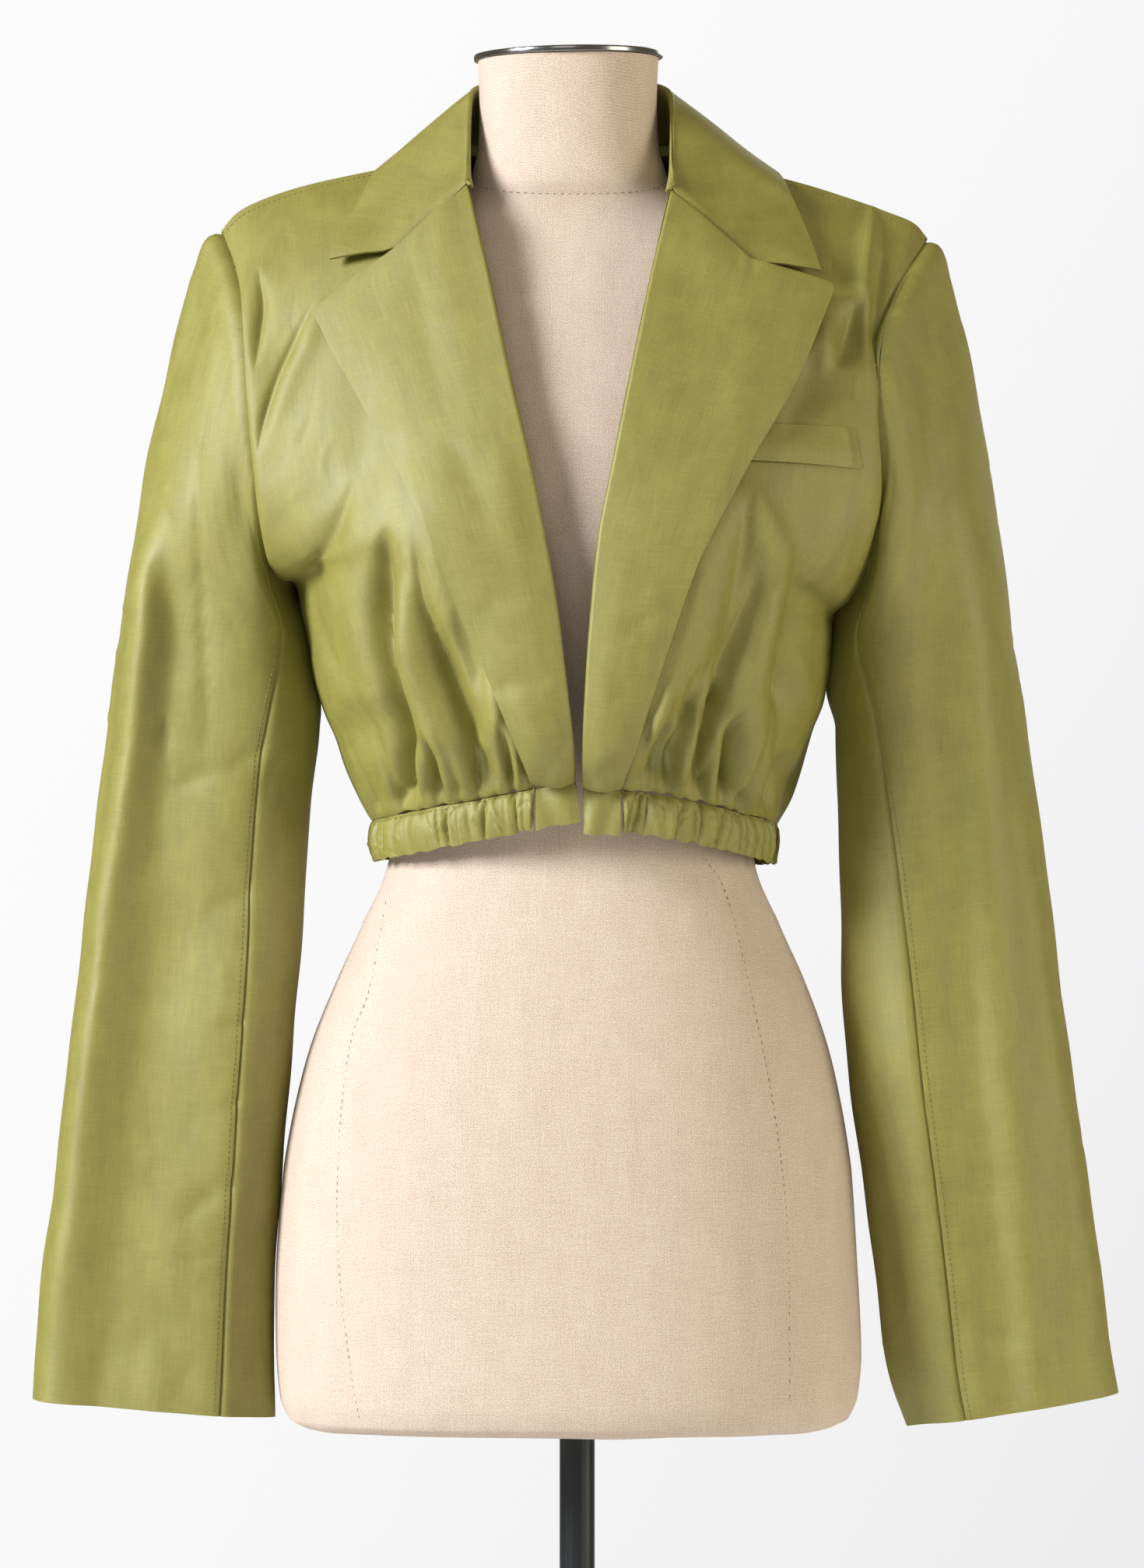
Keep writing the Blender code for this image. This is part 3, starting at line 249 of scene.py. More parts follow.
class FrontPanel:
    def __init__(self, side):
        self.side = side
        self.edge = panelRows(rollLine[side], armShare["front"])
        self.outer = outerEdge(side)

    def point(self, u, v):
        u, v = np.broadcast_arrays(np.asarray(u, float), np.asarray(v, float))
        edge, outer, power = smooth(self.edge, v), smooth(self.outer, v), byRow(frontRound, v)
        turn = np.clip(u, 0, 1) * math.pi / 2
        across = np.sin(turn) ** (2 / power)
        forward = np.maximum(np.cos(turn), 0) ** (2 / power)
        drop = 1 + (waistDrop[self.side] - 1) * np.clip((v - rowsDown["arm"]) / rowsDown["low"], 0, 1)
        x = edge[..., 0] + (outer[..., 0] - edge[..., 0]) * across
        y = outer[..., 1] + (edge[..., 1] - outer[..., 1]) * forward
        z = edge[..., 2] + (outer[..., 2] - edge[..., 2]) * across**drop
        wide = (np.abs(x - eye["axis"]) * 1000 - bust["across"]) / bust["wide"]
        tall = (z * 1000 - bust["height"]) / bust["tall"]
        full = bust["forward"] / 1000 * np.exp(-(wide**2) - tall**2)
        y = y - full * np.clip(4 * u, 0, 1) * np.clip(4 * (1 - u), 0, 1)
        fade = np.clip(1 - v / 4, 0, 1) ** 1.5
        return np.stack((x, y, z), axis=-1) + shoulderRise(self.side, across) * fade[..., None]

    def normal(self, u, v):
        step = 0.01
        along = self.point(np.clip(u + step, 0, 1), v) - self.point(np.clip(u - step, 0, 1), v)
        down = self.point(u, np.clip(v + step, 0, allRows)) - self.point(u, np.clip(v - step, 0, allRows))
        return unit(np.cross(down, along) * sides[self.side])

    def find(self, spots):
        # column and row that the eye sees at each spot
        spots = np.asarray(spots, float)
        columns, rows = np.meshgrid(np.linspace(0, 1, 41), np.linspace(0, allRows, 73))
        table = asSeen(self.point(columns, rows)).reshape(-1, 2)
        flat = spots.reshape(-1, 2)
        best = np.array([np.argmin(((table - spot) ** 2).sum(axis=1)) for spot in flat])
        at = np.stack((columns.ravel()[best], rows.ravel()[best]), axis=1)
        for _ in range(10):
            here = asSeen(self.point(at[:, 0], at[:, 1]))
            right = (asSeen(self.point(at[:, 0] + 0.004, at[:, 1])) - here) / 0.004
            down = (asSeen(self.point(at[:, 0], at[:, 1] + 0.05)) - here) / 0.05
            away = flat - here
            spread = right[:, 0] * down[:, 1] - right[:, 1] * down[:, 0]
            spread = np.where(np.abs(spread) < 1e-6, 1e-6, spread)
            moveU = (away[:, 0] * down[:, 1] - away[:, 1] * down[:, 0]) / spread
            moveV = (right[:, 0] * away[:, 1] - right[:, 1] * away[:, 0]) / spread
            at[:, 0] = np.clip(at[:, 0] + np.clip(moveU, -0.08, 0.08), 0.001, 0.995)
            at[:, 1] = np.clip(at[:, 1] + np.clip(moveV, -1.5, 1.5), 0, allRows - 0.01)
        return at.reshape(spots.shape)

    def laid(self, spots, lift):
        at = self.find(spots)
        return self.point(at[..., 0], at[..., 1]) + self.normal(at[..., 0],
            at[..., 1]) * np.asarray(lift)[..., None] / 1000

    def columnAtWaist(self, across):
        first, last = asSeen(self.edge[-1])[0], asSeen(self.outer[-1])[0]
        share = np.clip((across - first) / (last - first), 0, 1)
        return np.arcsin(share ** (frontRound[-1][1] / 2)) / (math.pi / 2)


class BackPanel:
    neckColumn = 0.34

    def __init__(self):
        self.middle = panelRows([(0, height, depth) for height, depth in centreBack], armShare["back"])
        self.outer = {side: outerEdge(side, behind=True) for side in sides}
        self.neck = {side: places(rollLine[side])[0] for side in sides}

    def half(self, side, u, v):
        u, v = np.broadcast_arrays(np.asarray(u, float), np.asarray(v, float))
        middle, outer, power = smooth(self.middle, v), smooth(self.outer[side], v), byRow(backRound, v)
        turn = np.clip(u, 0, 1) * math.pi / 2
        point = middle + (outer - middle) * (np.sin(turn) ** (2 / power))[..., None]
        point[..., 1] = outer[..., 1] + (middle[..., 1] - outer[..., 1]) * np.maximum(np.cos(turn),
            0) ** (2 / power)
        fade = (np.clip(1 - v / 3, 0, 1) ** 1.5)[..., None]
        return point + (self.top(side, u) - self.topSection(side, turn)) * fade

    def topSection(self, side, turn):
        power, middle, outer = backRound[0][1], self.middle[0], self.outer[side][0]
        point = middle + (outer - middle) * (np.sin(turn) ** (2 / power))[..., None]
        point[..., 1] = outer[1] + (middle[1] - outer[1]) * np.maximum(np.cos(turn), 0) ** (2 / power)
        return point

    def top(self, side, u):
        neck, centre = self.neck[side], self.middle[0]
        turn = np.clip(u / self.neckColumn, 0, 1) * math.pi / 2
        curve = centre + (neck - centre) * np.sin(turn)[..., None]
        curve[..., 1] = neck[1] + (centre[1] - neck[1]) * np.cos(turn)
        seam = seamAt(side, np.clip((u - self.neckColumn) / (1 - self.neckColumn), 0, 1))
        return np.where((u < self.neckColumn)[..., None], curve, seam)

    def at(self, across, v):
        # across runs from -1 at the right seam to 1 at the left
        across, v = np.broadcast_arrays(np.asarray(across, float), np.asarray(v, float))
        right = self.half("right", np.clip(-across, 0, 1), v)
        left = self.half("left", np.clip(across, 0, 1), v)
        return np.where((across < 0)[..., None], right, left)


fronts = {side: FrontPanel(side) for side in sides}
backPanel = BackPanel()


# ---- creases ----
def creased(creases, spots, gain=1.0):
    # Sum of soft troughs and ridges. Each crease is (depth mm, width mm, skew, path), and the path's
    # points are pixels and strength. A positive skew widens the side to the eye's right of a path
    # that runs down.
    # The light comes from the left, so the dark side of a trough is its left one, and the path follows that.
    flat = spots.reshape(-1, 2)
    total = np.zeros(len(flat))
    for deep, wide, skew, path in creases:
        path = np.array(path, float)
        path = smooth(path, np.linspace(0, len(path) - 1, 6 * len(path)))
        line = fromPixels(path[:, :2])
        if deep < 0:
            line = line + (0.5 * wide, 0)
        strength = np.clip(path[:, 2], 0, None)
        reach = 3 * wide * (1 + abs(skew))
        low, high = line.min(axis=0) - reach, line.max(axis=0) + reach
        near = np.flatnonzero(((flat > low) & (flat < high)).all(axis=1))
        if not len(near):
            continue
        start, step = line[:-1], np.diff(line, axis=0)
        away = flat[near][:, None] - start[None]
        share = np.clip((away * step).sum(axis=2) / np.maximum((step**2).sum(axis=1), 1e-6), 0, 1)
        far = np.linalg.norm(away - step * share[..., None], axis=2)
        best = far.argmin(axis=1)
        pick = np.arange(len(near)), best
        turn = step[best, 0] * away[pick][:, 1] - step[best, 1] * away[pick][:, 0]
        power = strength[best] + (strength[best + 1] - strength[best]) * share[pick]
        lean = skew * np.tanh(2.5 * turn / np.linalg.norm(step[best], axis=1) / wide)
        width = wide * (0.3 + 0.7 * np.minimum(power, 1)) * (1 + lean)
        gap = far[pick] / width
        if deep < 0:  # a trough has a narrow floor, a ridge a round top
            floor = 0.06 if wide < 5 else 0.35
            fall = np.exp(-1.35 * (np.sqrt(gap**2 + floor) - math.sqrt(floor)))
            total[near] += deep * power * np.maximum(fall - 0.03, 0)
        else:
            total[near] += deep * power * np.exp(-(gap**2))
    return total.reshape(spots.shape[:-1]) * gain / 1000


def crinkles(seed, count, box, lean, size):
    # many small soft creases inside a box of pixels: lean is their mean turn from upright in radians
    draw = np.random.default_rng(seed)
    left, top, right, bottom = box
    made = []
    for _ in range(count):
        x, y = draw.uniform(left, right), draw.uniform(top, bottom)
        long, turn = draw.uniform(30, 150) * size, draw.normal(lean, 0.45)
        bend = draw.normal(0, 0.18)
        path = []
        for share, power in ((-0.5, 0), (-0.2, 1), (0.15, 0.8), (0.5, 0)):
            way = turn + bend * share * 4
            path.append((x + math.sin(way) * long * share, y + math.cos(way) * long * share, power))
        deep = draw.uniform(0.12, 0.55) * size * draw.choice((-1, -1, 1))
        made.append((deep, draw.uniform(1.0, 3.2) * size, draw.uniform(-0.3, 0.5), tuple(path)))
    return made


def waves(points, seed, size, height):
    # gentle unevenness of worn cloth: a few crossing long waves
    draw = np.random.default_rng(seed)
    total = np.zeros(points.shape[:-1])
    for _ in range(7):
        way = unit(draw.normal(size=3)) / (size * draw.uniform(0.7, 1.6))
        total += np.sin(2 * math.pi * (points @ way) + draw.uniform(0, 6.3))
    return total * height / 3.5


frontCreases = {
    "right": (
        (-3.4, 4.0, 0.1, ((327, 345, 0.1), (331, 388, 1), (326, 428, 1), (321, 475, 0))),
        (-2.6, 3.6, 0.35, ((400, 386, 0), (373, 437, 0.9), (352, 480, 1), (332, 538, 1), (326, 585, 0))),
        (2.0, 7.0, 0.0, ((418, 380, 0), (392, 437, 1), (368, 490, 1), (346, 560, 0))),
        (-5.0, 6.5, 0.2, ((448, 615, 0), (432, 656, 0.5), (412, 698, 1), (396, 735, 0.9), (396, 775, 0.4),
            (408, 815, 0.6), (426, 850, 0.3), (434, 880, 0))),
        (2.6, 18, 0.0, ((452, 600, 0), (452, 680, 0.5), (448, 760, 1), (452, 850, 1), (464, 930, 1),
            (478, 990, 0.7), (484, 1032, 0.2))),
        (-12.0, 5.4, 0.3, ((490, 676, 0), (482, 725, 0.7), (480, 780, 1), (484, 835, 0.9), (494, 885, 0.9),
            (500, 930, 1.2), (505, 980, 1.2), (509, 1040, 0.9))),
        (6.0, 9.0, 0.0, ((516, 735, 0), (518, 795, 0.8), (528, 868, 1), (546, 930, 1), (560, 975, 0.7),
            (572, 1022, 0.3))),
        (4.0, 4.5, 0.0, ((520, 945, 0), (527, 982, 1), (533, 1015, 1), (538, 1040, 0.5))),
        (-9.0, 5.4, 0.3, ((528, 690, 0), (531, 730, 0.25), (536, 775, 0.45), (548, 815, 0.8), (562, 858, 1.1),
            (578, 898, 1.1), (592, 940, 1.1), (600, 980, 0.9), (607, 1012, 0.5))),
        (-5.0, 9, 0.0, ((574, 780, 0), (588, 825, 1), (602, 868, 1), (612, 905, 0.6), (618, 940, 0))),
        (-5.0, 10, 0.4, ((440, 890, 0), (448, 935, 1), (462, 985, 0.8), (478, 1035, 0.3))),
        (-7.0, 4.5, 0.3, ((541, 940, 0), (545, 975, 1), (550, 1010, 1), (556, 1036, 0.8))),
        (-6.0, 4.2, 0.3, ((604, 962, 0), (614, 990, 1), (622, 1016, 0.8))),
        (-8.0, 4.6, 0.3, ((634, 925, 0), (643, 968, 1), (650, 1003, 1), (655, 1022, 0.7))),
        (5.0, 4.6, 0.0, ((645, 930, 0), (655, 972, 1), (661, 1003, 1), (664, 1020, 0.5))),
        (4.0, 8.0, 0.0, ((622, 850, 0), (630, 900, 1), (646, 945, 0.6), (660, 985, 0))),
        (-4.5, 4.0, 0.2, ((662, 955, 0), (671, 988, 1), (678, 1012, 0.7))),
        (-1.6, 14, 0.0, ((470, 440, 0), (452, 520, 1), (448, 580, 0.6), (455, 620, 0))),
    ),
    "left": (
        (3.6, 5.5, -0.1, ((1122, 262, 0), (1118, 300, 0.9), (1112, 350, 1), (1112, 400, 0.8),
            (1119, 470, 0))),
        (-4.0, 6.0, 0.3, ((1128, 320, 0), (1123, 375, 1), (1125, 430, 1), (1132, 490, 0.3))),
        (-5.0, 8.0, 0.3, ((1098, 375, 0), (1090, 408, 1), (1079, 442, 1), (1066, 470, 0))),
        (2.4, 9.0, 0.0, ((1066, 400, 0), (1058, 440, 1), (1060, 480, 0))),
        (-2.4, 11, 0.2, ((1042, 440, 0), (1026, 490, 1), (1008, 530, 0.6))),
        (5.0, 9.5, 0.2, ((960, 600, 0), (980, 650, 0.4), (992, 700, 0.9), (990, 750, 1), (979, 812, 1),
            (962, 866, 1.1), (956, 905, 1), (966, 945, 1), (968, 990, 0.9), (964, 1030, 0.5))),
        (-6.0, 9, 0.1, ((950, 640, 0), (948, 700, 0.7), (942, 760, 0.9), (928, 820, 1), (904, 872, 0.9),
            (892, 905, 0.6))),
        (-7.0, 7, 0.3, ((976, 690, 0), (968, 750, 0.5), (950, 812, 0.7), (930, 862, 1), (922, 900, 1))),
        (-5.0, 8, 0.3, ((1012, 690, 0), (1010, 760, 0.7), (1002, 825, 1), (994, 878, 0.8), (984, 920, 0))),
        (-11.0, 5.0, 0.3, ((932, 870, 0), (918, 922, 1), (908, 958, 1), (900, 994, 1), (893, 1020, 0.9))),
        (-9.0, 4.6, 0.3, ((952, 905, 0), (942, 945, 1), (936, 985, 1.1), (930, 1020, 1), (924, 1044, 0.7))),
        (-8.0, 5.5, 0.3, ((900, 850, 0), (883, 902, 0.8), (874, 945, 1), (858, 985, 1), (850, 1018, 0.8))),
        (-8.0, 4.5, 0.3, ((868, 905, 0), (850, 945, 0.9), (836, 985, 1), (826, 1014, 0.8))),
        (5.0, 5.0, 0.0, ((906, 895, 0), (893, 935, 1), (886, 975, 1), (879, 1018, 0.6))),
        (5.0, 5.0, 0.0, ((944, 885, 0), (932, 930, 1), (922, 975, 1), (914, 1020, 0.6))),
        (4.0, 5.0, 0.0, ((872, 860, 0), (846, 930, 1), (826, 975, 1), (814, 1014, 0.6))),
        (-6.5, 7.0, 0.4, ((1000, 842, 0), (1003, 885, 0.9), (1004, 928, 1), (998, 970, 0.9),
            (986, 1010, 0.7))),
        (3.4, 9.0, 0.0, ((1042, 840, 0), (1038, 900, 1), (1022, 955, 0.7), (1010, 1000, 0))),
        (-8.0, 5.0, 0.3, ((1016, 960, 0), (1004, 1000, 1), (984, 1030, 1), (972, 1052, 0.8))),
        (-5.0, 4.5, 0.3, ((832, 925, 0), (822, 965, 1), (808, 1008, 0.9))),
        (2.4, 16, 0.0, ((1060, 640, 0), (1075, 700, 1), (1070, 770, 0.7), (1050, 830, 0))),
        (-2.4, 12, 0.0, ((1095, 640, 0), (1098, 700, 1), (1090, 760, 0.4))),
    ),
}
lapelCreases = {
    "right": (
        (-1.4, 11, 0.0, ((520, 330, 0), (532, 400, 1), (548, 470, 0.8), (560, 540, 0))),
        (1.2, 12, 0.0, ((570, 320, 0), (580, 400, 1), (600, 480, 0.5), (612, 560, 0))),
        (-1.8, 9.0, 0.0, ((560, 560, 0), (590, 600, 1), (610, 650, 0.8), (620, 700, 0))),
        (1.6, 10, 0.0, ((640, 560, 0), (655, 620, 1), (668, 700, 0.7), (676, 760, 0))),
        (-1.6, 8.0, 0.0, ((605, 790, 0), (625, 776, 1), (655, 770, 0.6), (680, 772, 0))),
        (-2.2, 6.5, 0.0, ((632, 884, 0.4), (655, 876, 1), (690, 874, 0.7), (705, 880, 0))),
        (-2.4, 6.0, 0.2, ((688, 1008, 1), (700, 985, 1), (716, 960, 0.6), (730, 935, 0))),
        (1.8, 7.0, 0.0, ((706, 1006, 0.6), (722, 985, 1), (735, 970, 0.2))),
        (2.0, 9.0, 0.0, ((650, 905, 0.5), (672, 910, 1), (690, 935, 0.6), (700, 960, 0))),
    ),
    "left": (
        (-1.4, 10, 0.0, ((880, 330, 0), (872, 400, 1), (866, 470, 0.5), (860, 540, 0))),
        (1.4, 12, 0.0, ((940, 380, 0), (950, 450, 1), (940, 520, 0.6), (925, 590, 0))),
        (-1.8, 10, 0.0, ((905, 470, 0), (900, 520, 1), (880, 560, 0.7), (866, 600, 0))),
        (-1.6, 6.0, 0.0, ((790, 820, 0), (812, 800, 1), (846, 776, 0.6))),
        (1.4, 7.0, 0.0, ((836, 740, 0), (842, 775, 1), (838, 810, 0.6), (828, 840, 0))),
        (-1.8, 6.0, 0.0, ((770, 905, 0), (790, 890, 1), (815, 888, 0.5))),
        (-2.4, 5.5, 0.0, ((752, 994, 0.5), (772, 984, 1), (792, 976, 1), (806, 972, 0.3))),
        (1.6, 6.0, 0.0, ((760, 970, 0.3), (778, 962, 1), (800, 950, 0.3))),
        (-1.2, 2.4, 0.0, ((955, 340, 1), (958, 352, 1), (954, 366, 0))),
        (-1.0, 2.4, 0.0, ((942, 330, 1), (938, 346, 1), (928, 352, 0))),
    ),
}


frontCrinkles = {
    "right": crinkles(301, 60, (330, 300, 700, 1010), 0.15, 1.0) + crinkles(302, 40, (440, 880, 700, 1040),
        0.1, 0.7),
    "left": crinkles(303, 60, (790, 300, 1130, 1010), -0.15, 1.0) + crinkles(304, 40, (790, 880, 1010, 1050),
        -0.1, 0.7),
}


frontGain = {"right": 1.2, "left": 1.35}
# the wearer's right armhole seam lies flat over its rows "from" to "to" and stands forward there
flatSeam = {"from": (1.8, 3.2), "to": (6.4, 7.6), "share": 0.85}
forwardSeam = {"from": (1.4, 3.2), "to": (6.8, 8.4), "rise": 0.0042, "reach": 15}


def seamDip(run):
    # both cloths of an armhole seam turn in at it; run is the distance from the seam in mm
    return -0.0012 * np.exp(-((run / 2.2) ** 2))


def between(v, span):
    return ease(v, *span["from"]) * (1 - ease(v, *span["to"]))


def seamStrength(side, v):
    return 1 - flatSeam["share"] * between(v, flatSeam) * (side == "right")


def seamFill(side, v, run):
    # metres towards the eye, at row v and this many millimetres from the seam
    reach = np.exp(-((run / forwardSeam["reach"]) ** 2))
    return forwardSeam["rise"] * between(v, forwardSeam) * reach * (side == "right")


def seamNormal(side, v):
    return fronts[side].normal(0.97, np.clip(v, 0, 10))


def headRoll(run):
    # height of a sleeve head's rounded edge at a distance in millimetres from its seam
    return 0.0030 * np.sin(math.pi * np.clip(run / 24, 0, 1)) * np.exp(-run / 22)


print("surfaces ready")


# ---- materials ----
def nodeGroup(name, inputs, outputs):
    group = bpy.data.node_groups.new(name, "ShaderNodeTree")
    for label, kind, value in inputs:
        socket = group.interface.new_socket(label, in_out="INPUT", socket_type=kind)
        if value is not None:
            socket.default_value = value
    for label, kind in outputs:
        group.interface.new_socket(label, in_out="OUTPUT", socket_type=kind)
    return group, group.nodes.new("NodeGroupInput"), group.nodes.new("NodeGroupOutput")


def addMath(tree, operation, first, second=None, third=None):
    node = tree.nodes.new("ShaderNodeMath")
    node.operation = operation
    for socket, value in zip(node.inputs, (first, second, third)):
        if value is None:
            continue
        if isinstance(value, (int, float)):
            socket.default_value = value
        else:
            tree.links.new(value, socket)
    return node.outputs[0]


def addNoise(tree, vector, scale, detail, stretch=None):
    if stretch:
        place = tree.nodes.new("ShaderNodeMapping")
        place.inputs["Scale"].default_value = stretch
        tree.links.new(vector, place.inputs["Vector"])
        vector = place.outputs[0]
    noise = tree.nodes.new("ShaderNodeTexNoise")
    noise.inputs["Scale"].default_value = scale
    noise.inputs["Detail"].default_value = detail
    tree.links.new(vector, noise.inputs["Vector"])
    return noise


def addBump(tree, shader, height, strength, distance):
    bump = tree.nodes.new("ShaderNodeBump")
    bump.inputs["Strength"].default_value = strength
    bump.inputs["Distance"].default_value = distance
    tree.links.new(height, bump.inputs["Height"])
    tree.links.new(bump.outputs[0], shader.inputs["Normal"])


# scales are per metre of cloth; wander is how far the threads stray, in metres
weaveShape = {"wanderScale": 130.0, "wander": 0.0008, "slub": (1400, 55), "grain": 1100.0, "streak": (75, 9),
    "mottle": 42.0}


def makeWeaveGroup():
    # plain weave from metric coordinates: threads that pass over and under, with slubs and a soft mottle
    group, source, sink = nodeGroup(
        "plainWeave",
        [("Vector", "NodeSocketVector", None)]
        + [(label, "NodeSocketFloat", value) for label,
            value in (("Pitch", 0.0005), ("Slub", 0.4), ("Grain", 0.5))],
        [(label, "NodeSocketFloat") for label in ("Height", "Slubs", "Mottle", "Streaks")],
    )
    link = group.links.new
    vector = source.outputs["Vector"]
    wander = addNoise(group, vector, weaveShape["wanderScale"], 2.0)
    shift = group.nodes.new("ShaderNodeVectorMath")
    shift.operation = "MULTIPLY_ADD"
    shift.inputs[1].default_value = (weaveShape["wander"], weaveShape["wander"], 0)
    link(wander.outputs["Color"], shift.inputs[0])
    link(vector, shift.inputs[2])
    split = group.nodes.new("ShaderNodeSeparateXYZ")
    link(shift.outputs[0], split.inputs[0])
    across = addMath(group, "DIVIDE", split.outputs[0], source.outputs["Pitch"])
    down = addMath(group, "DIVIDE", split.outputs[1], source.outputs["Pitch"])
    warp = addMath(group, "SINE", addMath(group, "MULTIPLY", across, math.pi))
    weft = addMath(group, "SINE", addMath(group, "MULTIPLY", down, math.pi))
    over = addMath(group, "MULTIPLY_ADD", addMath(group, "MULTIPLY", warp, weft), 0.5, 0.5)
    roundness = addMath(group, "MULTIPLY", addMath(group, "ABSOLUTE", warp), addMath(group, "ABSOLUTE", weft))
    height = addMath(group, "ADD", addMath(group, "MULTIPLY", over, 0.55),
        addMath(group, "MULTIPLY", roundness, 0.45))
    slubs = []
    for stretch in (weaveShape["slub"], weaveShape["slub"][::-1]):
        noise = addNoise(group, vector, 1.0, 2.0, (*stretch, 1))
        slubs.append(addMath(group, "SUBTRACT", noise.outputs["Fac"], 0.5))
    grain = addNoise(group, vector, weaveShape["grain"], 1.0)
    speck = addMath(group, "MULTIPLY", addMath(group, "SUBTRACT", grain.outputs["Fac"], 0.5),
        source.outputs["Grain"])
    both = addMath(group, "MULTIPLY", addMath(group, "ADD", slubs[0], slubs[1]), source.outputs["Slub"])
    both = addMath(group, "ADD", both, speck)
    streaks = addNoise(group, vector, 1.0, 3.0, (*weaveShape["streak"], 1))
    mottle = addNoise(group, vector, weaveShape["mottle"], 3.0)
    link(height, sink.inputs["Height"])
    link(both, sink.inputs["Slubs"])
    link(mottle.outputs["Fac"], sink.inputs["Mottle"])
    link(streaks.outputs["Fac"], sink.inputs["Streaks"])
    return group


weaveGroup = makeWeaveGroup()


def clothMaterial(look):
    paint = bpy.data.materials.new(look["name"])
    paint.use_nodes = True
    tree = paint.node_tree
    link = tree.links.new
    shader = tree.nodes["Principled BSDF"]
    uv = tree.nodes.new("ShaderNodeUVMap")
    uv.uv_map = "cut"
    weave = tree.nodes.new("ShaderNodeGroup")
    weave.node_tree = weaveGroup
    weave.inputs["Pitch"].default_value = look["pitch"]
    weave.inputs["Slub"].default_value = look["slub"]
    weave.inputs["Grain"].default_value = look["grain"]
    link(uv.outputs[0], weave.inputs["Vector"])
    ramp = tree.nodes.new("ShaderNodeMix")
    ramp.data_type = "RGBA"
    ramp.inputs[6].default_value = (*look["dark"], 1)
    ramp.inputs[7].default_value = (*look["light"], 1)
    tone = addMath(tree, "ADD", addMath(tree, "MULTIPLY", weave.outputs["Slubs"], look["slubTone"]), 0.5)
    for label, key in (("Mottle", "mottle"), ("Streaks", "mottle"), ("Height", "threadTone")):
        swing = addMath(tree, "SUBTRACT", weave.outputs[label], 0.5)
        tone = addMath(tree, "MULTIPLY_ADD", swing, look[key], tone)
    link(tone, ramp.inputs[0])
    link(ramp.outputs[2], shader.inputs["Base Color"])
    rough = addMath(tree, "MULTIPLY_ADD", weave.outputs["Mottle"], look["roughSpread"], look["roughness"])
    link(rough, shader.inputs["Roughness"])
    height = addMath(tree, "MULTIPLY_ADD", weave.outputs["Slubs"], 0.8, weave.outputs["Height"])
    height = addMath(tree, "MULTIPLY_ADD", weave.outputs["Mottle"], look["ripple"], height)
    height = addMath(tree, "MULTIPLY_ADD", weave.outputs["Streaks"], look["streak"], height)
    addBump(tree, shader, height, look["bump"], look["relief"])
    for label, value in (
        ("Specular IOR Level", look["specular"]), ("IOR", look["index"]),
            ("Specular Tint", (*look["gloss"], 1)),
        ("Sheen Weight", look["sheen"]), ("Sheen Roughness", 0.5), ("Sheen Tint", (*look["light"], 1)),
    ):
        shader.inputs[label].default_value = value
    return paint


olive = clothMaterial({
    "name": "oliveCotton", "dark": (0.155, 0.134, 0.015), "light": (0.262, 0.237, 0.034),
    "pitch": 0.00048, "slub": 0.6, "grain": 0.6, "slubTone": 1.3, "threadTone": 0.25, "mottle": 0.7,
    "roughness": 0.52, "roughSpread": 0.20, "bump": 0.7, "relief": 0.00006, "ripple": 8.0, "streak": 9.0,
    "specular": 0.5, "index": 1.85, "gloss": (1.0, 0.99, 0.86), "sheen": 0.03,
})
linen = clothMaterial({
    "name": "formLinen", "dark": (0.42, 0.31, 0.235), "light": (0.75, 0.63, 0.54),
    "pitch": 0.00088, "slub": 0.3, "grain": 1.0, "slubTone": 1.3, "threadTone": 0.9, "mottle": 0.2,
    "roughness": 0.85, "roughSpread": 0.05, "bump": 0.6, "relief": 0.00018, "ripple": 0.6, "streak": 0.2,
    "specular": 0.25, "index": 1.5, "gloss": (1.0, 1.0, 1.0), "sheen": 0.35,
})


def plainMaterial(name, colour, roughness, metallic=0.0, grain=40.0, spread=0.1, relief=0.00002):
    paint = bpy.data.materials.new(name)
    paint.use_nodes = True
    tree = paint.node_tree
    shader = tree.nodes["Principled BSDF"]
    shader.inputs["Base Color"].default_value = (*colour, 1)
    shader.inputs["Metallic"].default_value = metallic
    place = tree.nodes.new("ShaderNodeTexCoord")
    noise = addNoise(tree, place.outputs["Object"], grain, 4.0)
    rough = addMath(tree, "MULTIPLY_ADD", noise.outputs["Fac"], spread, roughness)
    tree.links.new(rough, shader.inputs["Roughness"])
    addBump(tree, shader, noise.outputs["Fac"], 0.4, relief)
    return paint


thread = plainMaterial("oliveThread", (0.20, 0.18, 0.045), 0.6, grain=900.0, relief=0.00005)
darkThread = plainMaterial("formThread", (0.30, 0.22, 0.16), 0.8, grain=900.0, relief=0.00005)
chrome = plainMaterial("chromeDisc", (0.25, 0.24, 0.25), 0.14, metallic=1.0, grain=260.0, spread=0.12)
poleBlack = plainMaterial("poleBlack", (0.012, 0.015, 0.019), 0.3, metallic=0.2, grain=320.0, spread=0.12)
print("materials ready")


# ---- pieces ----
def select(piece):
    bpy.ops.object.select_all(action="DESELECT")
    piece.select_set(True)
    bpy.context.view_layer.objects.active = piece


def applyAll(piece):
    select(piece)
    for modifier in list(piece.modifiers):
        bpy.ops.object.modifier_apply(modifier=modifier.name)


